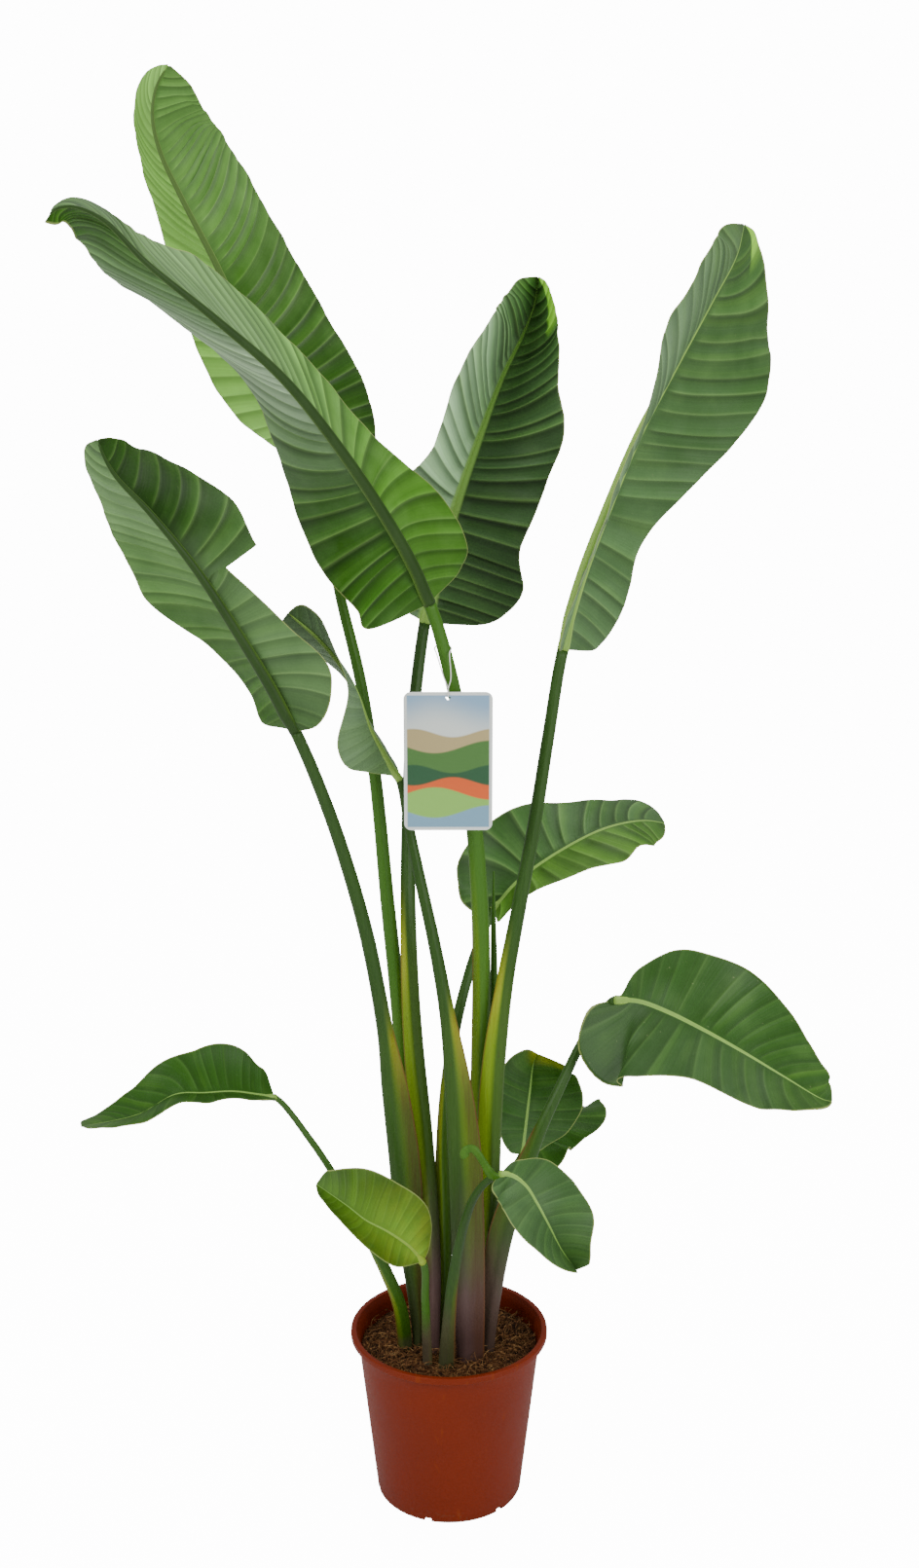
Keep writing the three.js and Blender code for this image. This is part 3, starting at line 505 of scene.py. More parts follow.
def loft_faces(rings, sides, first=0):
    """Quads that join rings of points into a skin, with a cap of strips across each end."""
    faces = []
    for r in range(rings - 1):
        a, b = first + r * sides, first + (r + 1) * sides
        for k in range(sides):
            n = (k + 1) % sides
            faces.append((a + k, a + n, b + n, b + k))
    top = first + (rings - 1) * sides
    for k in range(sides // 2 - 1):
        p, q, u, v = k, k + 1, sides - 2 - k, sides - 1 - k
        if q == u:
            faces.append((first + p, first + v, first + q))
            faces.append((top + p, top + q, top + v))
        else:
            faces.append((first + p, first + v, first + u, first + q))
            faces.append((top + p, top + q, top + u, top + v))
    return faces


# ---- Leaves --------------------------------------------------------------------------------------
# The leaves' own sizes, as in the part's source. rib: points along the midrib. roll: degrees that the
# face turns about the rib at its base, middle and tip. left and right: half widths at the stations, how
# far the base lobe runs back, and the degrees that the half lifts and curls, at base, middle and tip.
# wave: height of the ripple at the margin, and its waves. tear: its side, the share of the rib where it
# ends, where its lower and upper lips meet the margin, and how far each narrows. stalk: x, y, z, width and
# depth from the soil up, the same two at its tip, and the side that its sheath, the wing, opens to.

WIDTH_STATIONS = [0, 0.04, 0.1, 0.18, 0.28, 0.4, 0.52, 0.64, 0.76, 0.87, 0.95, 1]
STATIONS = [0, 0.05, 0.12, 0.25, 0.45, 0.65, 0.85, 0.95, 1]
FORWARD = [0, 0, 0, 0, 0.09, 0.14, 0.1, 0.04, 0]
BACKWARD = [0, 0.7, 1, 0.3, 0, 0, 0, 0, 0]
VEIN_BEND = 1.35
BLADE_THICKNESS = 0.9
STALK_DEPTH = 55
SOIL_LEVEL = 190

LEAVES = [
    dict(
        name="leaf_top_back",
        rib=[[-133, 60, 1155], [-174, 65, 1279], [-213, 70, 1380], [-250, 75, 1466],
            [-290, 85, 1543], [-312, 90, 1591], [-319, 92, 1627], [-314, 94, 1657], [-300, 95, 1681]],
        roll=[150, 175, 175],
        left=dict(
            width=[55, 80, 102, 131, 134, 132, 136, 116, 84, 48],
            lobe=14, lift=[45, 50, 55], curl=[20, 20, 20]),
        right=dict(
            width=[34, 65, 101, 163, 153, 124, 97, 88, 101, 64],
            lobe=0, lift=[55, 70, 70], curl=[35, -35, -5]),
        wave=[1.5, 5],
        stalk=dict(
            route=[[-30, 18, 190, 19, 12], [-34, 14, 300, 25, 12], [-41, 15, 426, 27, 13],
                [-51, 17, 550, 23, 14], [-62, 24, 657, 18, 15], [-71, 28, 751, 16.5, 15],
                [-84, 38, 899, 14.5, 13.5], [-100, 46, 1012, 13.2, 12.5], [-119, 55, 1094, 12, 11.5]],
            tip=[11, 10.5], wing=1)),
    dict(
        name="leaf_top_front",
        rib=[[-20, -70, 1122], [-54, -100, 1196], [-108, -150, 1291], [-161, -200, 1367],
            [-221, -250, 1427], [-277, -290, 1478], [-312, -308, 1516], [-337, -316, 1527],
            [-353, -320, 1524], [-362, -322, 1513]],
        roll=[210, 195, 190],
        left=dict(
            width=[61, 98, 108, 87, 95, 139, 93, 44, 61, 54],
            lobe=60, lift=[25, 70, 70], curl=[-5, -15, 10]),
        right=dict(
            width=[69, 75, 101, 110, 94, 118, 118, 78, 27, 16],
            lobe=34, lift=[15, 70, 70], curl=[30, 25, -25]),
        wave=[3, 5],
        stalk=dict(
            route=[[26, 14, 190, 17, 12], [30, 5, 303, 20, 12], [34, 2, 430, 22, 13], [37, 0, 555, 22, 14],
                [38, -6, 678, 21, 15], [36, -14, 762, 20, 16], [28, -28, 871, 18, 16],
                [15, -45, 976, 16, 15.5], [-1, -58, 1056, 15, 14.5]],
            tip=[13.5, 13], wing=-1)),
    dict(
        name="leaf_left_torn",
        rib=[[-164, -100, 988], [-185, -110, 1036], [-222, -130, 1107], [-261, -150, 1176],
            [-302, -165, 1233], [-334, -170, 1270], [-346, -170, 1293], [-350, -170, 1306]],
        roll=[160, 180, 190],
        left=dict(
            width=[32, 54, 70, 66, 94, 106, 106, 96, 68, 34],
            lobe=19, lift=[-25, 20, 65], curl=[15, 45, 15]),
        right=dict(
            width=[53, 60, 55, 65, 106, 99, 94, 74, 62, 39],
            lobe=24, lift=[40, 60, 70], curl=[-20, -35, 10]),
        wave=[2.5, 5],
        tear=dict(side="left", at=0.52, lower=0.46, upper=0.42, narrow=[0.75, 0.25]),
        stalk=dict(
            route=[[-37, -2, 190, 14, 12], [-42, -10, 274, 20, 12], [-48, -18, 365, 34, 13],
                [-52, -22, 441, 37, 14], [-63, -26, 540, 31, 14], [-74, -32, 620, 19, 15],
                [-93, -45, 738, 16.5, 15], [-119, -65, 848, 15, 14], [-144, -85, 932, 13.8, 13]],
            tip=[13, 12], wing=1)),
    dict(
        name="leaf_centre_back",
        rib=[[-27, 100, 1069], [-11, 105, 1142], [10, 110, 1212], [34, 120, 1280], [62, 135, 1349],
            [86, 147, 1395], [99, 150, 1428], [103, 150, 1458]],
        roll=[5, 15, -10],
        left=dict(
            width=[43, 67, 93, 111, 87, 109, 105, 91, 68, 46],
            lobe=0, lift=[10, 55, 70], curl=[-10, -25, 0]),
        right=dict(
            width=[64, 92, 103, 88, 98, 103, 79, 79, 70, 53],
            lobe=10, lift=[5, 40, 70], curl=[5, 0, 15]),
        wave=[4, 6],
        stalk=dict(
            route=[[-19, -16, 190, 14, 12], [-18, -14, 290, 17, 12], [-24, -8, 388, 22, 12],
                [-33, -4, 484, 26, 12], [-41, 2, 577, 24, 13], [-45, 9, 655, 21, 14], [-47, 24, 746, 18, 15],
                [-47, 44, 825, 16, 14.5], [-42, 72, 947, 14.7, 13.5]],
            tip=[13.5, 12.5], wing=-1)),
    dict(
        name="leaf_right_tall",
        rib=[[128, 0, 1057], [151, 10, 1139], [178, 20, 1212], [210, 30, 1289], [249, 45, 1361],
            [290, 60, 1434], [316, 70, 1482], [323, 70, 1515]],
        roll=[30, 20, 35],
        left=dict(
            width=[53, 78, 107, 116, 102, 148, 121, 99, 80, 59],
            lobe=32, lift=[50, 70, 35], curl=[0, -25, -35]),
        right=dict(
            width=[62, 79, 79, 69, 101, 131, 141, 115, 54, 30],
            lobe=26, lift=[-25, -20, -25], curl=[10, 30, 0]),
        wave=[2.5, 5],
        stalk=dict(
            route=[[40, 4, 190, 19, 12], [43, -7, 288, 22, 12], [47, -14, 390, 26, 12],
                [48, -19, 490, 29, 13], [53, -21, 575, 27, 14], [65, -21, 670, 20, 15],
                [81, -18, 763, 16.7, 15], [97, -12, 854, 15.5, 14.5], [112, -6, 955, 14.2, 13.5]],
            tip=[13, 12.5], wing=-1)),
    dict(
        name="leaf_middle_right",
        rib=[[54, 100, 717], [83, 110, 749], [134, 130, 781], [192, 150, 805], [241, 170, 809],
            [267, 175, 804]],
        roll=[-30, -40, -50],
        left=dict(
            width=[11, 39, 70, 77, 77, 61, 58, 57, 43, 32],
            lobe=42, lift=[35, -10, -25], curl=[10, 5, -25]),
        right=dict(
            width=[31, 42, 52, 59, 61, 66, 43, 43, 30, 19],
            lobe=28, lift=[45, 35, 10], curl=[30, -10, -15]),
        wave=[2, 4],
        stalk=dict(
            route=[[-9, -2, 190, 13, 11], [-7, -4, 279, 19, 11], [-7, -3, 367, 21, 12], [-7, 4, 452, 17, 12],
                [-3, 16, 520, 15, 12], [6, 35, 581, 13.5, 12], [18, 56, 628, 12.5, 11],
                [34, 80, 675, 11.5, 10.5]],
            tip=[10.5, 10], wing=-1)),
    dict(
        name="leaf_right_low",
        rib=[[193, -22, 649], [219, -34, 652], [251, -50, 645], [290, -70, 631], [333, -90, 612],
            [376, -110, 591], [417, -130, 572], [428, -132, 570]],
        roll=[-20, -40, -65],
        left=dict(
            width=[10, 40, 69, 80, 89, 81, 64, 47, 34, 25],
            lobe=0, lift=[20, 0, 0], curl=[15, 5, 5]),
        right=dict(
            width=[10, 55, 98, 85, 61, 63, 63, 53, 22, 10],
            lobe=70, lift=[10, 5, 20], curl=[0, 0, 0]),
        wave=[1.5, 4],
        stalk=dict(
            route=[[46, -16, 190, 18, 12], [51, -26, 275, 25, 12], [61, -36, 354, 30, 12],
                [83, -40, 430, 25, 12], [105, -40, 490, 16, 12], [131, -28, 545, 12.4, 11.5],
                [158, -4, 592, 11, 10.5], [178, 0, 619, 10.5, 10]],
            tip=[10, 9.5], wing=-1)),
    dict(
        name="leaf_small_round",
        rib=[[90, 70, 410], [95, 85, 445], [100, 100, 480], [105, 110, 515], [110, 115, 525]],
        roll=[30, 20, 5],
        left=dict(
            width=[21, 33, 44, 49, 50, 53, 53, 47, 27, 18],
            lobe=8, lift=[20, 20, 40], curl=[5, 5, -5]),
        right=dict(
            width=[19, 30, 42, 57, 67, 66, 62, 59, 53, 46],
            lobe=0, lift=[15, 15, 50], curl=[15, 5, 10]),
        wave=[1.5, 4],
        stalk=dict(
            route=[[52, 36, 190, 11, 10], [54, 40, 281, 11, 10], [62, 50, 340, 10, 9],
                [76, 62, 388, 9.5, 8.5]],
            tip=[9, 8], wing=1)),
    dict(
        name="leaf_small_wavy",
        rib=[[105, 140, 375], [115, 160, 395], [135, 190, 400], [160, 220, 400], [180, 240, 395]],
        roll=[0, -45, -95],
        left=dict(
            width=[19, 28, 38, 43, 46, 46, 44, 39, 30, 22],
            lobe=10, lift=[20, 25, 20], curl=[15, 15, 15]),
        right=dict(
            width=[17, 27, 41, 45, 47, 57, 59, 46, 34, 26],
            lobe=25, lift=[15, 30, 55], curl=[0, -15, -25]),
        wave=[2, 4],
        stalk=dict(
            route=[[32, 44, 190, 9, 8.5], [40, 64, 262, 8.5, 8], [58, 94, 316, 8, 7.5],
                [82, 122, 352, 7.5, 7]],
            tip=[7, 6.5], wing=1)),
    dict(
        name="leaf_front_drooping",
        rib=[[58, -130, 482], [72, -140, 484], [86, -147, 476], [98, -155, 459], [110, -160, 437],
            [126, -165, 406], [143, -165, 381]],
        roll=[-30, -30, -35],
        left=dict(
            width=[10, 20, 34, 46, 50, 51, 42, 32, 24, 19],
            lobe=0, lift=[-25, 10, 60], curl=[5, 10, 15]),
        right=dict(
            width=[12, 22, 34, 46, 49, 46, 40, 30, 18, 10],
            lobe=16, lift=[30, 30, 65], curl=[0, 0, 20]),
        wave=[1, 4],
        stalk=dict(
            route=[[-3, -52, 190, 20, 10], [0, -66, 259, 16, 10], [4, -80, 316, 13.5, 10.5],
                [11, -93, 370, 12, 10.5], [19, -105, 413, 11, 10], [29, -115, 446, 9.5, 9],
                [43, -124, 470, 8.5, 8]],
            tip=[8, 7.5], wing=1)),
    dict(
        name="leaf_front_yellowing",
        rib=[[-30, -90, 350], [-45, -100, 375], [-70, -110, 400], [-95, -120, 420],
            [-115, -125, 440], [-150, -130, 470]],
        roll=[35, 35, 50],
        left=dict(
            width=[6, 16, 26, 36, 42, 38, 38, 36, 27, 19],
            lobe=0, lift=[10, 30, 40], curl=[10, 15, 15]),
        right=dict(
            width=[12, 23, 37, 50, 54, 54, 46, 34, 23, 17],
            lobe=1, lift=[5, 15, 15], curl=[15, 5, 5]),
        wave=[1, 3],
        stalk=dict(
            route=[[-26, -46, 190, 12, 10], [-27, -60, 244, 11, 9.5], [-28, -74, 294, 9.5, 8.5]],
            tip=[8.5, 8], wing=1)),
    dict(
        name="leaf_left_low",
        rib=[[-200, -60, 545], [-220, -75, 555], [-245, -90, 565], [-275, -105, 570],
            [-305, -120, 575], [-345, -140, 560], [-405, -160, 555]],
        roll=[80, 80, 90],
        left=dict(
            width=[17, 25, 31, 33, 43, 51, 41, 40, 30, 21],
            lobe=0, lift=[20, 35, 25], curl=[35, -35, -25]),
        right=dict(
            width=[26, 36, 49, 57, 49, 46, 38, 32, 28, 23],
            lobe=0, lift=[20, 20, -10], curl=[35, 20, -10]),
        wave=[1.5, 3],
        stalk=dict(
            route=[[-54, -6, 190, 18, 12], [-60, -24, 257, 17, 12], [-75, -38, 309, 15.5, 12],
                [-96, -48, 363, 12.6, 11], [-126, -54, 429, 9.2, 9], [-162, -56, 492, 8, 8]],
            tip=[7, 7], wing=-1)),
    dict(
        name="leaf_small_twisted",
        rib=[[-55, -10, 910], [-70, -15, 940], [-85, -20, 970], [-100, -25, 1015],
            [-115, -30, 1045], [-140, -30, 1075], [-175, -30, 1105]],
        roll=[45, 85, 145],
        left=dict(
            width=[6, 23, 42, 47, 34, 26, 26, 26, 21, 13],
            lobe=0, lift=[-25, -10, 25], curl=[-35, -30, 5]),
        right=dict(
            width=[13, 21, 29, 33, 35, 38, 42, 42, 34, 22],
            lobe=0, lift=[-25, -25, -5], curl=[-25, 5, 30]),
        wave=[1, 3],
        stalk=dict(
            route=[[26, -36, 190, 33, 13], [24, -42, 285, 38, 14], [22, -44, 374, 40, 14],
                [18, -42, 473, 39, 14], [10, -40, 557, 30, 14], [-2, -36, 640, 18, 14],
                [-16, -32, 721, 14.5, 13.5], [-33, -24, 801, 13, 12], [-45, -17, 860, 11, 10.5]],
            tip=[9, 8.5], wing=1)),
]

SPEAR = dict(
    name="leaf_spear",
    route=[[46, 24, 190, 8, 8], [49, 14, 295, 9, 9], [52, 8, 424, 10, 10], [53, 6, 550, 10, 9.5],
        [53, 4, 673, 8.5, 8], [52, 3, 745, 5.5, 5.5], [52, 2, 798, 2, 2]],
    wing=1,
)

# How each blade looks. sheened, lit, aged: along the left half and the right half,
# from the base to the tip, how far it has a painted sheen (a grey reflection), painted light shining through
# it (on the yellowing leaf, its own yellowing) and age. shade: how bright, as painted light and shade. pleat:
# how deep its pleats are, and panel their usual width; contrast: how strongly their painted highlights and
# shade show. bands: a painted lit band along the margin near the tip, as side, start and share of the half.
# scuffed: how scuffed it is. rib, dark_rib: how wide and how dark its rib looks. core: how far the painted
# light through it and its yellowing fade from the rib, which then looks yellow, to the margin.

PLAIN = dict(
    sheened=([0, 0], [0, 0]), lit=([0, 0, 0.1], [0, 0, 0.1]), aged=([0, 0], [0, 0]), shade=([1, 1], [1, 1]),
    pleat=1.2, panel=19, contrast=0.3, scuffed=0.2, rib=0.5, dark_rib=0.0, core=0.0, bands=[])
BLADE_LOOKS = {
    "leaf_top_back": dict(
        sheened=([0, 0, 0.1, 0.2], [0, 0, 0.1, 0]),
        lit=([0, 0.05, 0.2, 0.3, 0.35], [1, 0.9, 0.75, 0.75, 0.8]),
        shade=([0.5, 0.55, 0.7, 0.95, 0.95], [1.15, 1.15, 1.1, 1.1, 1.15]),
        pleat=3.2, panel=13, contrast=0.9, dark_rib=0.7),
    "leaf_top_front": dict(
        sheened=([0, 0, 0.15, 0.4, 0.3, 0.1], [0, 0, 0.3, 1.0, 0.35, 0, 0]),
        lit=([0.2, 0.25, 0.3, 0.25, 0.15, 0.1], [0.05, 0, 0, 0, 0.1]),
        shade=([0.8, 0.85, 1.05, 1.1, 0.85, 0.75], [0.75, 0.7, 0.85, 1.15, 0.9, 0.7]),
        pleat=3.0, panel=16, contrast=1.2, dark_rib=1.0),
    "leaf_left_torn": dict(
        sheened=([0.15, 0.3, 0.2, 0, 0], [0, 0.1, 0.2, 0.35, 0.2]),
        lit=([0, 0.1, 0.1, 0, 0], [0.1, 0.1, 0.15, 0.15, 0.1]),
        shade=([0.6, 0.7, 0.7, 0.4, 0.5], [0.85, 0.85, 0.95, 1.05, 0.95]),
        pleat=2.2, panel=18, contrast=0.8, dark_rib=1.0),
    "leaf_centre_back": dict(
        sheened=([0.5, 0.9, 0.7, 0.1], [0.15, 0.2, 0.2, 0.1]),
        shade=([1, 1.4, 1.2, 0.9], [0.7, 0.55, 0.6, 1.1]),
        pleat=4.5, panel=15, contrast=1.5, rib=1.3, bands=[("right", 0.76, 0.4)]),
    "leaf_right_tall": dict(
        sheened=([0.3, 0.5, 0.4, 0.2], [0.25, 0.2, 0.15, 0.1]), shade=([1, 0.95, 0.9], [0.95, 0.95, 0.9]),
        pleat=3.0, panel=24, contrast=0.8, rib=0.8, bands=[("right", 0.84, 0.25)]),
    "leaf_middle_right": dict(
        sheened=([0.1, 0.1, 0.2], [0.05, 0.05, 0.1]), lit=([0, 0], [0.25, 0.3, 0.1]),
        shade=([0.85, 0.85], [0.9, 0.9]), pleat=2.0, panel=20, contrast=0.9, scuffed=0.3),
    "leaf_right_low": dict(
        sheened=([0.1, 0.05, 0.05], [0.1, 0.1, 0.05]), shade=([0.9, 0.85], [0.75, 0.8]),
        pleat=1.2, panel=20, scuffed=1.0),
    "leaf_small_round": dict(
        sheened=([0.1, 0.05], [0.05, 0]), aged=([0, 0, 0, 0, 0, 0, 0, 0.9], [0, 0, 0, 0, 0, 0, 0, 0.5]),
        pleat=0.6, panel=14),
    "leaf_small_wavy": dict(pleat=0.6, panel=14),
    "leaf_front_drooping": dict(
        sheened=([0.15, 0.15, 0.1], [0.2, 0.2, 0.15]), shade=([0.85, 0.8], [0.85, 0.8]),
        pleat=0.6, panel=14, scuffed=0.4),
    "leaf_front_yellowing": dict(
        lit=([0.9, 0.6, 0.45, 0.35], [1, 0.8, 0.5, 0.35]), aged=([0.2, 0.1, 0], [0.25, 0.1, 0]),
        shade=([0.85, 0.7], [0.9, 0.7]), pleat=0.5, panel=12, contrast=0.25, rib=0.35, core=0.75),
    "leaf_left_low": dict(shade=([0.95, 0.95], [0.95, 0.95]), pleat=0.7, panel=15),
    "leaf_small_twisted": dict(
        sheened=([0.5, 0.6, 0.3], [0.5, 0.6, 0.3]), lit=([0.15, 0], [0.15, 0]),
        shade=([1.1, 0.9, 0.7], [1.1, 0.9, 0.7]), pleat=0.8, panel=14),
}

# How each stalk looks, from 0 to 1: how dark its petiole is, how lime its sheath, how yellow the tip of
# the sheath, how bronze its wing, how purple its foot, and the height that the purple reaches.
STALK_LOOKS = {
    "leaf_top_back": dict(dark=0.15, lime=0.7, ripe=0.2, bronze=0.1, purple=0.2, foot=330),
    "leaf_top_front": dict(dark=0.1, lime=0.6, ripe=0, bronze=0.1, purple=0.2, foot=300),
    "leaf_left_torn": dict(dark=0.85, lime=0.2, ripe=0.4, bronze=0.9, purple=0.35, foot=420),
    "leaf_centre_back": dict(dark=0.8, lime=1.0, ripe=0.9, bronze=0.2, purple=1.0, foot=560),
    "leaf_right_tall": dict(dark=0.8, lime=1.0, ripe=0.85, bronze=0.3, purple=0.7, foot=420),
    "leaf_middle_right": dict(dark=0.6, lime=0.8, ripe=0.8, bronze=0.6, purple=0.4, foot=300),
    "leaf_right_low": dict(dark=0.8, lime=0.1, ripe=0.0, bronze=0.5, purple=0.9, foot=560),
    "leaf_small_round": dict(dark=0.5, lime=0.3, ripe=0.3, bronze=0.2, purple=0.4, foot=280),
    "leaf_small_wavy": dict(dark=0.5, lime=0.3, ripe=0.3, bronze=0.2, purple=0.3, foot=250),
    "leaf_front_drooping": dict(dark=0.85, lime=0.0, ripe=0.1, bronze=0.2, purple=0.5, foot=420),
    "leaf_front_yellowing": dict(dark=0.3, lime=0.6, ripe=0.4, bronze=1.0, purple=0.8, foot=340),
    "leaf_left_low": dict(dark=0.45, lime=0.3, ripe=0.4, bronze=0.2, purple=0.5, foot=230),
    "leaf_small_twisted": dict(dark=0.85, lime=0.4, ripe=0.5, bronze=0.9, purple=1.0, foot=520),
    "leaf_spear": dict(dark=0.15, lime=0.6, ripe=0, bronze=0.0, purple=0.0, foot=220),
}

# The rolled strip that one blade's lobe ends in, at its base, and the strip's radius along it.
ROLLED_LOBE = dict(
    leaf="leaf_front_drooping",
    route=[[60, -131, 478], [49, -133, 482], [43, -134, 491], [38, -134, 500], [33, -133, 508],
           [27, -132, 514], [20, -132, 513], [17, -132, 508], [19, -132, 504]],
    radius=[4, 5.5, 4.5, 4.5, 5, 5])

FRONT = np.array([0.0, -1.0, 0.0])
TINY = 1e-6


class Rib:
    """The midrib of a leaf as a moving frame: where it runs, and which way the blade's face looks."""

    def __init__(self, leaf, steps=241):
        self.places, self.along, self.length = even_path(leaf["rib"], steps)
        self.steps = steps
        facing = unit(FRONT - (self.along @ FRONT)[:, None] * self.along)
        turn = np.radians(base_middle_tip(leaf["roll"], np.linspace(0, 1, steps)))[:, None]
        self.facing = np.cos(turn) * facing + np.sin(turn) * np.cross(self.along, facing)

    def at(self, x):
        """Centre, face direction, sideways direction and share of the length at a distance x."""
        share = np.clip(x / self.length, 0, 1)
        place = share * (self.steps - 1)
        i = np.minimum(place.astype(int), self.steps - 2)
        f = (place - i)[..., None]
        centre, along, facing = (
            a[i] * (1 - f) + a[i + 1] * f for a in (self.places, self.along, self.facing))
        along = unit(along)
        facing = unit(facing)
        centre = centre + along * (x - share * self.length)[..., None]
        return centre, facing, np.cross(along, facing), share


def blade_surface(leaf, rib, side, vein, share, margin_vein, narrowed):
    """Points of one half of a blade, with their distance from the rib."""
    half = leaf[side]
    widths = [0, *half["width"], 0]
    foot = rib.length * vein
    reach = (rib.length * (margin_vein + smooth_through(STATIONS, FORWARD, margin_vein))
             - half["lobe"] * smooth_through(STATIONS, BACKWARD, margin_vein))
    across = share * narrowed * smooth_through(WIDTH_STATIONS, widths, margin_vein)
    centre, facing, sideways, u = rib.at(foot + (reach - foot) * share ** VEIN_BEND)
    lift = np.radians(base_middle_tip(half["lift"], u))
    bend = np.radians(base_middle_tip(half["curl"], u)) / max(half["width"])
    bend = np.where(np.abs(bend) < TINY, TINY, bend)
    turned = lift + bend * across
    right = side == "right"
    height, waves = leaf["wave"]
    ends = np.sqrt(np.maximum(0, 4 * margin_vein * (1 - margin_vein)))
    ripple = height * ends * share ** 2 * np.sin(2 * np.pi * waves * margin_vein + 2 * right)
    out = (np.sin(turned) - np.sin(lift)) / bend
    up = (np.cos(lift) - np.cos(turned)) / bend + ripple
    sign = 1 if right else -1
    return centre + sign * out[..., None] * sideways + up[..., None] * facing, across


def pleat_rows(rng, length, panel):
    """Rows along a half blade that follow its pleats: the place, arch, hollow shade, flank highlight and line
    of each.
    The hollow shade is painted shade on the pleat's dark side, the flank highlight a painted highlight on its
    bright side, and the line its vein."""
    creases = [0.0]
    while creases[-1] < length - 0.6 * panel:
        creases.append(creases[-1] + panel * rng.uniform(0.6, 1.45))
    creases[-1] = length
    sub = np.array([0, 0.05, 0.14, 0.28, 0.43, 0.58, 0.73, 0.86, 0.95])
    rows = []
    for start, end in zip(creases, creases[1:]):
        skew = rng.uniform(0.65, 1.5)
        depth = rng.uniform(0.35, 1.0)
        arch = depth * (1 - np.abs(2 * sub ** skew - 1) ** 2.4)
        hollow_shade = depth * ease(0.5, 0.95, sub)
        flank_highlight = rng.uniform(0.2, 1.0) * (1 - sub) ** 1.5
        line = depth * np.maximum(0, 1 - np.minimum(sub, 1 - sub) / 0.09)
        rows += list(zip((start + (end - start) * sub) / length, arch, hollow_shade, flank_highlight, line))
    rows.append((1.0, 0.0, 0.0, 0.0, 0.0))
    return np.array(rows)


def face_normals(surface, outwards):
    rising, spreading = np.gradient(surface, axis=0), np.gradient(surface, axis=1)
    return unit(np.cross(spreading, rising)) * outwards


def patch_shell(surface, half_thickness, outwards):
    """A closed skin round a grid of points, and which of its faces are the underside."""
    rows, columns = surface.shape[:2]
    normal = face_normals(surface, outwards)
    points = np.concatenate([(surface + normal * half_thickness[..., None]).reshape(-1, 3),
                             (surface - normal * half_thickness[..., None]).reshape(-1, 3)])
    index = np.arange(rows * columns).reshape(rows, columns)
    top = np.stack([index[:-1, :-1], index[:-1, 1:], index[1:, 1:], index[1:, :-1]], -1).reshape(-1, 4)
    if outwards < 0:
        top = top[:, ::-1]
    under = top[:, ::-1] + rows * columns
    loop = np.concatenate([index[0, :-1], index[:-1, -1], index[-1, :0:-1], index[:0:-1, 0]])
    if outwards < 0:
        loop = loop[::-1]
    after = np.roll(loop, -1)
    wall = np.stack([after, loop, loop + rows * columns, after + rows * columns], -1)
    faces = np.concatenate([top, under, wall])
    underside = np.concatenate([np.zeros(len(top)), np.ones(len(under)), np.zeros(len(wall))])
    return points, faces, underside


BLADE_MARKS = (
    "along", "rib", "margin", "shade", "sheened", "lit", "aged", "scuffed", "above", "dark_rib", "veined")
COLUMNS = 27  # points across a half blade
VEIN_LINE = 0.3  # how strong a row's line is where a tear may follow it
VEIN_ENDS = 0.004  # share of the rib that is left free at each end
UPPER_SKIN, RIB_SKIN = 0, 2  # places of a blade's finishes


class Skin:
    """Gathers the points, faces, finishes and marks of one mesh."""

    def __init__(self):
        self.points, self.faces, self.kinds = [], [], []
        self.marks = {key: [] for key in BLADE_MARKS}

    def add(self, points, faces, kinds, marks):
        first = sum(len(part) for part in self.points)
        self.points.append(points)
        self.faces += [tuple(corner + first for corner in face) for face in faces]
        self.kinds.append(np.zeros(len(faces)) + kinds)
        for key, values in self.marks.items():
            values.append(np.zeros(len(points)) + marks.get(key, 0))

    def piece(self, name, finishes):
        marks = {key: np.concatenate(values) for key, values in self.marks.items()}
        return make_piece(
            name, np.concatenate(self.points), self.faces, finishes, np.concatenate(self.kinds), marks)


def flaps_of(rows, torn):
    """First and last row of each flap of a half blade: one flap, or those below and above its tear."""
    if not torn:
        return [(0, len(rows))]
    veins = np.flatnonzero(rows[:, 4] > VEIN_LINE)
    at = veins[np.argmin(np.abs(rows[veins, 0] - torn["at"]))]
    return [(0, at + 1), (at, len(rows))]


def flap_margin(vein, torn, below):
    """Where a flap's veins reach the margin, and how far the tear narrows the blade at each."""
    if not torn:
        return vein, np.ones_like(vein)
    if below:
        narrowed = 1 - torn["narrow"][0] * ease(0.35, 1.0, vein / vein[-1])
        return vein * torn["lower"] / vein[-1], narrowed
    away = (vein - vein[0]) / (1 - vein[0])
    narrowed = 1 - torn["narrow"][1] * (1 - ease(0.0, 0.15, away))
    return 1 - (1 - vein) * (1 - torn["upper"]) / (1 - vein[0]), narrowed


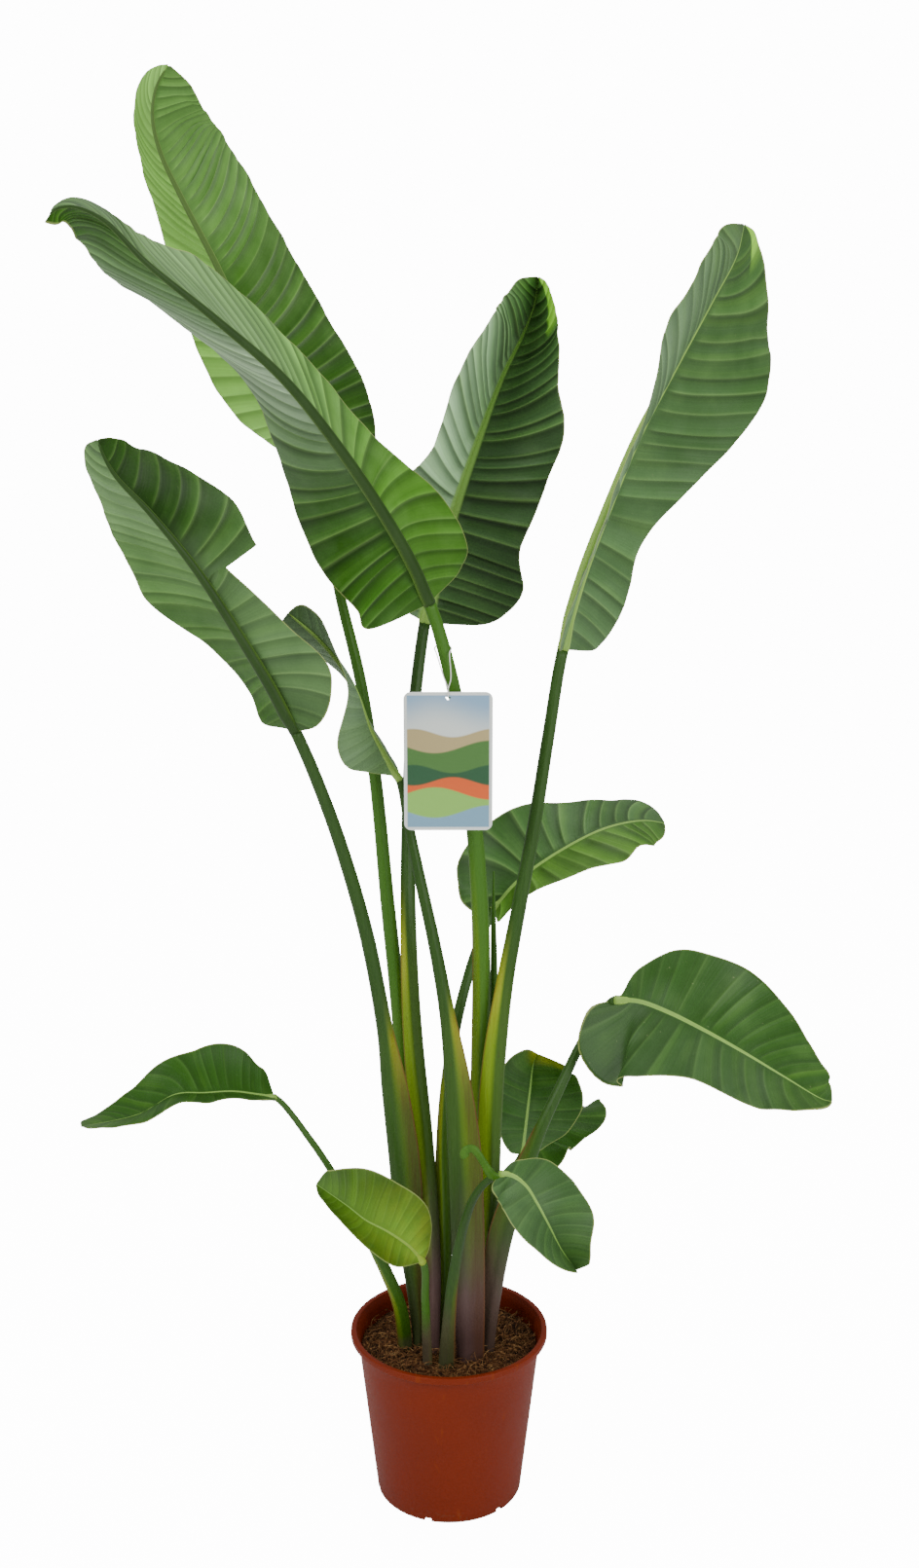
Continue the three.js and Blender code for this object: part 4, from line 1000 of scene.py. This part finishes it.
def add_flap(skin, leaf, looks, rib, side, rows, phases, torn, below):
    """Adds one flap of a half blade: its pleats and ripple, and the marks that its finish reads."""
    right = side == "right"
    outwards = 1 if right else -1
    place, arch, hollow_shade, flank_highlight, line = (column[:, None] for column in rows.T)
    vein = VEIN_ENDS + (1 - 2 * VEIN_ENDS) * place[:, 0]
    margin_vein, narrowed = flap_margin(vein, torn, below)
    half_width = narrowed * smooth_through(WIDTH_STATIONS, [0, *leaf[side]["width"], 0], margin_vein)
    rib_half = 0.5 * leaf["stalk"]["tip"][0] * (1 - vein) ** 0.6 + 0.6
    near = np.minimum(0.3, rib_half / half_width)
    steps = np.linspace(0, 1, COLUMNS - 3)[1:]
    share = np.concatenate([
        np.zeros((len(vein), 1)), near[:, None] * [0.35, 0.7, 1.0],
        near[:, None] + (1 - near[:, None]) * steps ** 0.9], axis=1)
    surface, across = blade_surface(
        leaf, rib, side, vein[:, None], share, margin_vein[:, None], narrowed[:, None])

    spread = ease(0.05, 0.22, share) * (1 - 0.85 * ease(0.55, 1.0, share))
    ends = (ease(0.0, 0.06, vein) * (1 - ease(0.78, 0.97, vein)))[:, None]
    s = vein[:, None] * rib.length
    sway = (np.sin(s / 23 + phases[0] + 2 * share) + 0.6 * np.sin(s / 9 + phases[1] - 3 * share)
            + 0.5 * np.sin(s / 5 + phases[2]) * share)
    lift = looks["pleat"] * arch * spread * ends
    lift = lift + 0.8 * sway * share ** 1.5 * ends * min(1, rib.length / 400)
    surface = surface - face_normals(surface, outwards) * lift[..., None]
    thickness = (0.5 - 0.25 * ease(0.9, 1.0, share)) * BLADE_THICKNESS

    grid = np.ones_like(share)
    v = vein[:, None] * grid
    shown = ease(0.03, 0.15, share) * ease(0.0, 0.06, vein)[:, None]
    rib_reach = np.maximum(looks["rib"] * rib_half[:, None], 0.5)
    marks = {
        "along": (s + 700 * right) * MM * grid,
        "rib": (1 - looks["dark_rib"]) * np.clip(1.5 - across / rib_reach, 0, 1),
        "margin": (1 - share) * half_width[:, None] * MM,
        # Painted light and shade: each half's painted brightness, with a painted highlight on each pleat's
        # flank and painted shade in its hollow.
        "shade": (along_leaf(looks["shade"][right], v)
                  * (1 + looks["contrast"] * flank_highlight * shown)
                  * (1 - 0.45 * looks["contrast"] * hollow_shade * shown)),
        # The pale vein line: partly the vein's own colour, partly a painted highlight on the crease.
        "veined": min(1, looks["contrast"]) * line * shown,
        "scuffed": looks["scuffed"] * grid,
    }
    for key in ("sheened", "lit", "aged"):
        marks[key] = np.clip(along_leaf(looks[key][right], v), 0, 1)
    marks["lit"] = marks["lit"] * (1 - looks["core"] * ease(0.1, 1.0, share))
    # A painted lit band along the margin near the tip: more painted light through the blade, and brighter.
    for band_side, start, depth in looks["bands"]:
        if band_side == side:
            band = ease(start, start + 0.06, v) * ease(1 - depth, 1.03 - depth, share)
            marks["lit"] = np.maximum(marks["lit"], band)
            marks["shade"] = marks["shade"] + band
    points, faces, underside = patch_shell(surface, thickness, outwards)
    skin.add(points, faces, underside, {key: np.tile(value.ravel(), 2) for key, value in marks.items()})


def blade_piece(leaf, finishes, seed):
    name = leaf["name"]
    looks = {**PLAIN, **BLADE_LOOKS[name]}
    rib = Rib(leaf)
    rng = np.random.default_rng(seed)
    tear = leaf.get("tear")
    skin = Skin()
    for side in ("left", "right"):
        rows = pleat_rows(rng, rib.length, looks["panel"])
        phases = rng.uniform(0, 2 * np.pi, 4)
        torn = tear if tear and tear["side"] == side else None
        for first, last in flaps_of(rows, torn):
            add_flap(skin, leaf, looks, rib, side, rows[first:last], phases, torn, first == 0)
    tube, faces, above = midrib_tube(rib, *leaf["stalk"]["tip"])
    skin.add(tube, faces, RIB_SKIN, {"above": above, "dark_rib": looks["dark_rib"], "lit": looks["core"]})
    if name == ROLLED_LOBE["leaf"]:
        roll, faces, along = rolled_strip(ROLLED_LOBE["route"], ROLLED_LOBE["radius"])
        skin.add(roll, faces, UPPER_SKIN, {"along": along * MM, "margin": 0.01, "shade": 0.95, "lit": 0.2})
    slot = "blade_yellow_green" if name == "leaf_front_yellowing" else "blade_green"
    hold(skin.piece(name + "_leaf", finishes), slot, name + "_blade")


def midrib_tube(rib, width, depth, sides=16):
    """The midrib: it leaves the stalk in line and sinks below the blade's face on its way to the tip."""
    shares = np.linspace(0, 0.985, max(24, int(rib.length / 5)))
    centre, facing, sideways, _ = rib.at(shares * rib.length)
    half_width = (0.5 * width * (1 - shares) ** 0.6 + 0.5)[:, None, None]
    half_depth = (0.5 * depth * (1 - shares) ** 0.6 + 0.5)[:, None, None]
    sunk = half_depth * 0.8 * ease(0, 0.08, shares)[:, None, None]
    angle = 2 * np.pi * np.arange(sides) / sides
    across, up = np.cos(angle)[:, None], np.sin(angle)[:, None]
    rings = (centre[:, None] + half_width * across * sideways[:, None]
             + (half_depth * up - sunk) * facing[:, None])
    above = np.tile((np.sin(angle) + 1) / 2, len(shares))
    return rings.reshape(-1, 3), loft_faces(len(shares), sides), above


def rolled_strip(route, radii, steps=60, sides=14):
    """A strip of a blade that is rolled up along its route, as a flattened tube."""
    centre, along, length = even_path(route, steps)
    facing = unit(FRONT - (along @ FRONT)[:, None] * along)
    sideways = np.cross(along, facing)
    shares = np.linspace(0, 1, steps)
    radius = along_leaf(radii, shares)[:, None, None]
    angle = 2 * np.pi * np.arange(sides) / sides
    across, up = np.cos(angle)[:, None], 0.6 * np.sin(angle)[:, None]
    rings = centre[:, None] + radius * (across * sideways[:, None] + up * facing[:, None])
    return rings.reshape(-1, 3), loft_faces(steps, sides), np.repeat(shares * length, sides)


# ---- Stalks --------------------------------------------------------------------------------------

PETIOLE_WIDTH = 1.25  # of its depth, at most: past that, a stalk's width is sheath
RIPE_REACH = 120  # mm below a sheath's mouth


def stalk_section(width, depth, wing, sides):
    """The stalk's outline: a rounded petiole, with a sheath that thins out to one side where it is wide."""
    body = np.minimum(width, PETIOLE_WIDTH * depth)[:, None]
    width, depth = width[:, None], depth[:, None]
    angle = 2 * np.pi * np.arange(sides) / sides
    s = width * (1 - np.cos(angle)) / 2
    petiole = depth / 2 * np.sqrt(np.clip(1 - (2 * s / body - 1) ** 2, 0, 1))
    q = np.clip((s - body / 2) / np.maximum(width - body / 2, TINY), 0, 1)
    sheath = np.where(s > body / 2, 0.42 * depth * (1 - q) ** 0.9 * np.sqrt(1 - q ** 8) + 0.45 * (q < 1), 0)
    half = (petiole ** 4 + sheath ** 4) ** 0.25
    across = wing * (s - width / 2)
    bow = 0.10 * np.maximum(s - body / 2, 0) ** 2 / width
    hem = (width - s) * MM
    face = np.sign(np.sin(angle)) * (np.abs(np.sin(angle)) > TINY)
    return across, face * half + bow, q, hem


def stalk_piece(name, stops, guide, wing, finish, sides=32, per_span=14):
    foot = [*stops[0][:2], stops[0][2] - STALK_DEPTH, *stops[0][3:]]
    stops = [foot, *stops]
    places = [stop[:3] for stop in stops] + ([guide] if guide else [])
    spans = list(spans_of(places))[:len(stops) - 1]
    t = np.linspace(0, 1, per_span, endpoint=False)
    centre = np.vstack([along_span(span, t) for span in spans] + [np.array([stops[-1][:3]], float)])
    along = unit(np.gradient(centre, axis=0))
    place = np.linspace(0, len(stops) - 1, len(centre))
    width = smooth_through(range(len(stops)), [stop[3] for stop in stops], place)
    depth = smooth_through(range(len(stops)), [stop[4] for stop in stops], place)
    sideways = unit(np.array([1.0, 0, 0]) - along[:, :1] * along)
    inward = np.cross(along, sideways)
    across, through, q, hem = stalk_section(width, depth, wing, sides)
    rings = centre[:, None] + across[..., None] * sideways[:, None] + through[..., None] * inward[:, None]
    looks = STALK_LOOKS[name]
    grid = np.ones_like(q)
    sheath = ease(1.12, 1.45, width / depth)[:, None] * grid
    low = 1 - np.clip((centre[:, 2] - SOIL_LEVEL) / (looks["foot"] - SOIL_LEVEL), 0, 1)[:, None] * grid
    mouth = np.max(centre[:, 2], where=sheath[:, 0] > 0.3, initial=0)
    ripe = ease(mouth - RIPE_REACH, mouth, centre[:, 2])[:, None] * sheath * looks["ripe"]
    marks = {"sheath": sheath, "wing": q, "hem": hem, "foot": low, "ripe": ripe}
    for key in ("dark", "lime", "bronze", "purple"):
        marks[key] = looks[key] * grid
    marks = {key: value.ravel() for key, value in marks.items()}
    faces = loft_faces(len(centre), sides)
    if wing < 0:
        faces = [face[::-1] for face in faces]
    piece_name = name if name == "leaf_spear" else name + "_stalk"
    piece = make_piece(piece_name + "_skin", rings.reshape(-1, 3), faces, [finish], marks=marks)
    hold(piece, "spear_green" if name == "leaf_spear" else "stalk_green", piece_name)


# ---- Pot and mix ---------------------------------------------------------------------------------

POT = dict(rim=120, height=215, wall_top=111.5, foot=89, wall=2, floor=2.5, foot_round=2, band=8)
DRAIN = dict(count=6, first=-17, width=9, height=5, reach=16)
BOX_SIDES = ((0, 1, 3, 2), (4, 6, 7, 5), (0, 4, 5, 1), (2, 3, 7, 6), (0, 2, 6, 4), (1, 5, 7, 3))


def outer_radius(z):
    slope = (POT["wall_top"] - POT["foot"]) / (POT["height"] - POT["band"] - POT["floor"])
    return POT["foot"] + slope * max(z - POT["floor"], 0)


def inner_radius(z):
    return outer_radius(z) - POT["wall"]


def lathe(name, profile, sides, finishes):
    """Turns a profile of radius and height about the pot's axis. It starts and ends on the axis."""
    angle = 2 * np.pi * np.arange(sides) / sides
    round_about = np.stack([np.sin(angle), -np.cos(angle)], -1)
    points = [(0, 0, profile[0][1])]
    for radius, z in profile[1:-1]:
        points += [(*(radius * xy), z) for xy in round_about]
    points.append((0, 0, profile[-1][1]))
    last = len(points) - 1
    faces = []
    for k in range(sides):
        n = (k + 1) % sides
        faces.append((0, 1 + n, 1 + k))
        for ring in range(len(profile) - 3):
            a, b = 1 + ring * sides, 1 + (ring + 1) * sides
            faces.append((a + k, a + n, b + n, b + k))
        faces.append((last, last - sides + k, last - sides + n))
    return make_piece(name, points, faces, finishes)


def bend(centre, radius, start, end, steps=6):
    """Points of an arc in the profile, from one angle to another."""
    turns = np.radians(np.linspace(start, end, steps))
    return [(centre[0] + radius * math.cos(a), centre[1] + radius * math.sin(a)) for a in turns]


def pot_piece(finish):
    rim, height, band = POT["rim"], POT["height"], POT["band"]
    foot, rounding, floor = POT["foot"], POT["foot_round"], POT["floor"]
    under = height - band
    wall = [(outer_radius(z), z) for z in np.linspace(6, under - 9, 14)]
    inside = [(inner_radius(z), z) for z in np.linspace(under - 4, 8, 12)]
    profile = [
        (0, 0), (60, 0), (foot - 6, 0),
        *bend((foot - rounding, rounding), rounding, -90, 0, 5),
        *wall,
        *bend((outer_radius(under) + 5, under - 6), 5, 180, 110, 5),
        (rim - 3, under - 0.6),
        *bend((rim - 1.2, under + 0.8), 1.2, -90, 0, 4),
        *bend((rim - 2.0, height - 2.0), 2.0, 5, 90, 6),
        *bend((rim - 5.2, height - 2.0), 2.0, 90, 175, 6),
        (inner_radius(under) + 1.2, height - 5),
        *inside,
        *bend((inner_radius(floor) - 3, floor + 3), 3, 0, -90, 5),
        (0, floor),
    ]
    pot = lathe("pot_shell", profile, 160, [finish])
    cutter = bpy.data.meshes.new("drains")
    corners, faces = [], []
    for i in range(DRAIN["count"]):
        turn = math.radians(DRAIN["first"] + 360 * i / DRAIN["count"])
        first = len(corners)
        for x in (-DRAIN["width"] / 2, DRAIN["width"] / 2):
            for y in (-foot - DRAIN["reach"] / 2, -foot + DRAIN["reach"] / 2):
                for z in (-DRAIN["height"], DRAIN["height"]):
                    corners.append((
                        MM * (x * math.cos(turn) - y * math.sin(turn)),
                        MM * (x * math.sin(turn) + y * math.cos(turn)), MM * z))
        for side in BOX_SIDES:
            faces.append(tuple(first + corner for corner in side))
    cutter.from_pydata(corners, [], faces)
    boxes = bpy.data.objects.new("drains", cutter)
    bpy.context.scene.collection.objects.link(boxes)
    notch = pot.modifiers.new("drains", "BOOLEAN")
    notch.object = boxes
    notch.solver = "EXACT"
    settle(pot)
    bpy.data.objects.remove(boxes)
    pot.data.set_sharp_from_angle(angle=math.radians(40))
    hold(pot, "pot_plastic", "pot")


def settle(piece):
    """Turns what a piece's modifiers make of it into its own plain mesh."""
    bpy.context.view_layer.update()
    shown = piece.evaluated_get(bpy.context.evaluated_depsgraph_get())
    mesh = bpy.data.meshes.new_from_object(shown)
    piece.modifiers.clear()
    piece.data = mesh


def soil_height(x, y):
    """The mix's lumpy top: the source's broad lumps, with finer ones on them."""
    broad = (0.5 * np.sin(x / 17 + 1) * np.cos(y / 14) + 0.3 * np.sin(y / 7.5 + x / 11)
             + 0.2 * np.cos(x / 5.5))
    fine = (np.sin(x / 3.1 + 2 * np.sin(y / 4.3)) * np.cos(y / 2.7 + np.sin(x / 5.1))
            + 0.6 * np.sin(x / 1.4 + y / 1.9) * np.sin(y / 1.3 - x / 2.3))
    return SOIL_LEVEL + 3.5 * broad + 1.1 * fine


def mix_top(edge, sides, rings):
    """Points of the mix's top: its middle, and rings of points out to its edge."""
    angle = 2 * np.pi * np.arange(sides) / sides
    points = [(0, 0, float(soil_height(0.0, 0.0)))]
    for r in range(rings):
        radius = edge * (r + 1) / rings
        x, y = radius * np.sin(angle), -radius * np.cos(angle)
        points += list(zip(x, y, soil_height(x, y)))
    return points


def ring_faces(sides, rings, last=None):
    """Faces from the first point through rings of points, and on to the last point where it is given."""
    faces = []
    for k in range(sides):
        n = (k + 1) % sides
        faces.append((0, 1 + k, 1 + n))
        for ring in range(rings - 1):
            a, b = 1 + ring * sides, 1 + (ring + 1) * sides
            faces.append((a + k, b + k, b + n, a + n))
        if last:
            faces.append((last, last - sides + n, last - sides + k))
    return faces


def soil_piece(finish):
    sides, rings = 220, 64
    angle = 2 * np.pi * np.arange(sides) / sides
    points = mix_top(inner_radius(SOIL_LEVEL) - 0.6, sides, rings)
    low = POT["floor"] + 0.4
    for radius, z in ((inner_radius(6) - 0.6, 6), (inner_radius(low) - 3, low)):
        points += list(zip(radius * np.sin(angle), -radius * np.cos(angle), np.full(sides, z)))
    points.append((0, 0, low))
    soil = make_piece("mix_body", points, ring_faces(sides, rings + 2, len(points) - 1), [finish])
    hold(soil, "potting_mix", "soil")


COCO = {"Strand length": 0.026, "Strand radius": 0.00032, "Crumb size": 0.002}  # m
CRUMB_ROUGHNESS = 0.0022  # m
# Each lot that is scattered: its seed, how many of it fall on a square metre, how far it tilts, in radians,
# and its least and greatest size.
STRAND_LOTS = [(3, 36000.0, 0.5, 0.3, 1.3), (4, 34000.0, 0.5, 0.3, 1.3)]
CRUMB_LOT = (5, 16000.0, 3.1, 0.25, 1.2)
SIZE_SEED = 10
FULL_TURN = 6.283


def coco_strand(tree, length, radius):
    """An arched strand of coco fibre, as a thin tube."""
    end = tree.add("ShaderNodeCombineXYZ", {}, {"X": length})
    rise = tree.add("ShaderNodeCombineXYZ", {}, {
        "X": length * 0.5, "Y": length * 0.3, "Z": length * 0.25})
    arc = tree.add("GeometryNodeCurveQuadraticBezier", {}, {
        "Resolution": 5, "Start": (0, 0, 0), "Middle": rise, "End": end})
    ring = tree.add("GeometryNodeCurvePrimitiveCircle", {}, {"Resolution": 3, "Radius": radius})
    return tree.add("GeometryNodeCurveToMesh", {}, {
        "Curve": arc, "Profile Curve": ring, "Fill Caps": True})


def coco_crumb(tree, size):
    """A lumpy crumb of coco."""
    ball = tree.add("GeometryNodeMeshIcoSphere", {}, {"Radius": size, "Subdivisions": 1})
    wobble = tree.add("ShaderNodeTexNoise", {"noise_dimensions": "3D"}, {"Scale": 400.0}, output=1)
    off = tree.add("ShaderNodeVectorMath", {"operation": "MULTIPLY_ADD"}, {
        0: wobble, 1: (CRUMB_ROUGHNESS,) * 3, 2: (-CRUMB_ROUGHNESS / 2,) * 3})
    return tree.add("GeometryNodeSetPosition", {}, {"Geometry": ball, "Offset": off})


def scattered(tree, ground, shape, lot):
    """Copies of a shape on the ground, turned and sized at random."""
    seed, density, tilt, least, most = lot
    spots = tree.add("GeometryNodeDistributePointsOnFaces", {}, {
        "Mesh": ground, "Density": density, "Seed": seed})
    turn = tree.add("FunctionNodeRandomValue", {"data_type": "FLOAT_VECTOR"}, {
        0: (-tilt, -tilt, 0.0), 1: (tilt, tilt, FULL_TURN), "Seed": seed})
    size = tree.add("FunctionNodeRandomValue", {"data_type": "FLOAT"}, {
        2: least, 3: most, "Seed": seed + SIZE_SEED}, output=1)
    return tree.add("GeometryNodeInstanceOnPoints", {}, {
        "Points": spots, "Instance": shape, "Rotation": turn, "Scale": size})


def held_inside(tree, shape, edge):
    """The shape with every point that passes the edge pulled back to it."""
    place = tree.add("GeometryNodeInputPosition")
    flat = tree.add("ShaderNodeVectorMath", {"operation": "MULTIPLY"}, {0: place, 1: (1, 1, 0)})
    away = tree.add("ShaderNodeVectorMath", {"operation": "LENGTH"}, {0: flat}, output=1)
    inward = away.math("MINIMUM", 1.0, away.math("DIVIDE", edge, away))
    scale = tree.add("ShaderNodeCombineXYZ", {}, {"X": inward, "Y": inward, "Z": 1.0})
    held = tree.add("ShaderNodeVectorMath", {"operation": "MULTIPLY"}, {0: place, 1: scale})
    return tree.add("GeometryNodeSetPosition", {}, {"Geometry": shape, "Position": held})


def coco_fibres(finish):
    """Strands and crumbs of coco fibre, scattered over the mix with Geometry Nodes."""
    edge = inner_radius(SOIL_LEVEL) - 2.5
    sides, rings = 60, 20
    ground = make_piece("coco_fibres", mix_top(edge, sides, rings), ring_faces(sides, rings), [])
    group = bpy.data.node_groups.new("scatter_coco", "GeometryNodeTree")
    group.interface.new_socket("Geometry", in_out="INPUT", socket_type="NodeSocketGeometry")
    group.interface.new_socket("Geometry", in_out="OUTPUT", socket_type="NodeSocketGeometry")
    for label, value in COCO.items():
        socket = group.interface.new_socket(label, in_out="INPUT", socket_type="NodeSocketFloat")
        socket.default_value = value
    tree = Tree(group)
    given = tree.add("NodeGroupInput")
    length, radius, crumb_size = (Socket(tree, given.socket.node.outputs[i]) for i in (1, 2, 3))
    parts = [scattered(tree, given, coco_strand(tree, length, radius), lot) for lot in STRAND_LOTS]
    parts.append(scattered(tree, given, coco_crumb(tree, crumb_size), CRUMB_LOT))
    joined = tree.add("GeometryNodeJoinGeometry")
    for part in parts:
        tree.tree.links.new(part.socket, joined.socket.node.inputs[0])
    real = tree.add("GeometryNodeRealizeInstances", {}, {"Geometry": joined})
    inside = held_inside(tree, real, (edge + 0.5) * MM)
    dressed = tree.add("GeometryNodeSetMaterial", {}, {"Geometry": inside, "Material": finish})
    out = tree.tree.nodes.new("NodeGroupOutput")
    tree.tree.links.new(dressed.socket, out.inputs[0])
    scatter = ground.modifiers.new("scatter_coco", "NODES")
    scatter.node_group = group
    settle(ground)
    hold(ground, "potting_mix")


# ---- Tag -----------------------------------------------------------------------------------------

TAG = dict(width=97, height=156, thickness=0.8, corner=8, hole=3, hole_drop=6, edge=0.25)
TAG_CENTRE = dict(x=0, y=-75.4, top=1026)
TIE = dict(wire=1.3, around=(-5.5, -61.5, 1071), stalk_radius=8.1)
GAP = 0.3


def tag_piece(finish):
    """The hang tag: a card with round corners, its faces made of strips from its hole to its outline.
    The hole has points only towards the card's corners, so its top is cut off straight."""
    w, h, r = TAG["width"] / 2, TAG["height"], TAG["corner"]
    outline = []
    for cx, cz, start in ((w - r, -r, 90), (w - r, -h + r, 0), (-w + r, -h + r, -90), (-w + r, -r, -180)):
        outline += bend((cx, cz), r, start, start - 90, 9)
    count = len(outline)
    hole = []
    for x, z in outline:
        angle = math.atan2(z + TAG["hole_drop"], x)
        hole.append((TAG["hole"] * math.cos(angle), -TAG["hole_drop"] + TAG["hole"] * math.sin(angle)))
    half = TAG["thickness"] / 2
    soft = TAG["edge"]
    inset = [(x * (1 - soft / w), (z + h / 2) * (1 - soft / (h / 2)) - h / 2) for x, z in outline]
    rings = [(hole, -half), (inset, -half), (outline, -half + soft),
             (outline, half - soft), (inset, half), (hole, half)]
    points = [(TAG_CENTRE["x"] + x, TAG_CENTRE["y"] + y, TAG_CENTRE["top"] + z)
              for ring, y in rings for x, z in ring]
    faces = []
    for ring in range(len(rings)):
        a, b = ring * count, ((ring + 1) % len(rings)) * count
        for k in range(count):
            n = (k + 1) % count
            faces.append((a + k, b + k, b + n, a + n))
    tag = make_piece("hang_tag_card", points, faces, [finish])
    flat_shaded(tag)
    hold(tag, "tag_card", "hang_tag")


def flat_shaded(piece):
    piece.data.polygons.foreach_set("use_smooth", np.zeros(len(piece.data.polygons), bool))


def tie_piece(finish):
    """The moulded loop: round a stalk, and through the card at its hole."""
    radius = TIE["wire"] / 2
    x, y, z = TIE["around"]
    hold_radius = TIE["stalk_radius"] + GAP + radius
    stand = TAG["thickness"] / 2 + GAP + radius
    under = TAG_CENTRE["top"] - TAG["hole_drop"] + 0.3
    crossing = TAG_CENTRE["top"] + 3
    tx, ty = TAG_CENTRE["x"], TAG_CENTRE["y"]
    route = [
        [x, y + hold_radius, z + 3],
        [x + 0.71 * hold_radius, y + 0.71 * hold_radius, z + 2],
        [x + hold_radius, y, z],
        [x + 0.8 * hold_radius, y - 0.85 * hold_radius, z - 3],
        [tx + 3, ty - stand - 0.5, crossing + 12],
        [tx, ty - stand, crossing],
        [tx, ty - stand, under + 0.3],
        [tx, ty, under],
        [tx, ty + stand, under + 0.3],
        [tx, ty + stand, crossing],
        [tx - 5, ty + stand, crossing + 14],
        [x - 0.8 * hold_radius, y - 0.85 * hold_radius, z - 3],
        [x - hold_radius, y, z],
        [x - 0.71 * hold_radius, y + 0.71 * hold_radius, z + 2],
    ]
    loop = route[-2:] + route + route[:2]
    t = np.linspace(0, 1, 12, endpoint=False)
    spans = list(spans_of(loop))[2:-1]
    centre = np.vstack([along_span(span, t) for span in spans])
    along = unit(np.roll(centre, -1, axis=0) - np.roll(centre, 1, axis=0))
    side = np.zeros_like(centre)
    last = np.cross(along[0], (0, 0, 1.0))
    for i, way in enumerate(along):
        last = last - (last @ way) * way
        last = last / np.linalg.norm(last)
        side[i] = last
    other = np.cross(along, side)
    sides = 10
    angle = 2 * np.pi * np.arange(sides) / sides
    rings = (centre[:, None] + radius * np.cos(angle)[:, None] * side[:, None]
             + radius * np.sin(angle)[:, None] * other[:, None])
    steps = len(centre)
    first, final = rings[0], rings[-1]
    twists = [np.linalg.norm(np.roll(first, -k, axis=0) - final, axis=1).sum() for k in range(sides)]
    shift = int(np.argmin(twists))
    faces = []
    for i in range(steps):
        a, b = i * sides, ((i + 1) % steps) * sides
        turn = shift if i == steps - 1 else 0
        for k in range(sides):
            n = (k + 1) % sides
            faces.append((a + k, a + n, b + (n + turn) % sides, b + (k + turn) % sides))
    tie = make_piece("tag_loop", rings.reshape(-1, 3), faces, [finish])
    hold(tie, "tie_plastic", "tag_tie")


# ---- The plant -----------------------------------------------------------------------------------

place_camera()
set_stage()

upper = blade_finish("blade_upper", "2c5610", "8aa883", "78b030", "b4b808", "9cc864", 0.42, 0.00035)
under = blade_finish("blade_under", "2e5c06", "93ad8a", "7cb848", "c9a830", "a9c878", 0.5, 0.0003)
rib_skin = midrib_finish()
stalk_skin = stalk_finish()

for number, leaf in enumerate(LEAVES):
    blade_piece(leaf, [upper, under, rib_skin], 100 + number)
    stalk = leaf["stalk"]
    stalk_piece(leaf["name"], [*stalk["route"], [*leaf["rib"][0], *stalk["tip"]]], leaf["rib"][1],
                stalk["wing"], stalk_skin)
stalk_piece(SPEAR["name"], SPEAR["route"], None, SPEAR["wing"], stalk_skin)
pot_piece(pot_finish())
soil_piece(mix_finish())
coco_fibres(fibre_finish())
tag_piece(tag_finish())
tie_piece(tie_finish())


def corners(bounds):
    return [[float(v) for v in corner] for corner in bounds]
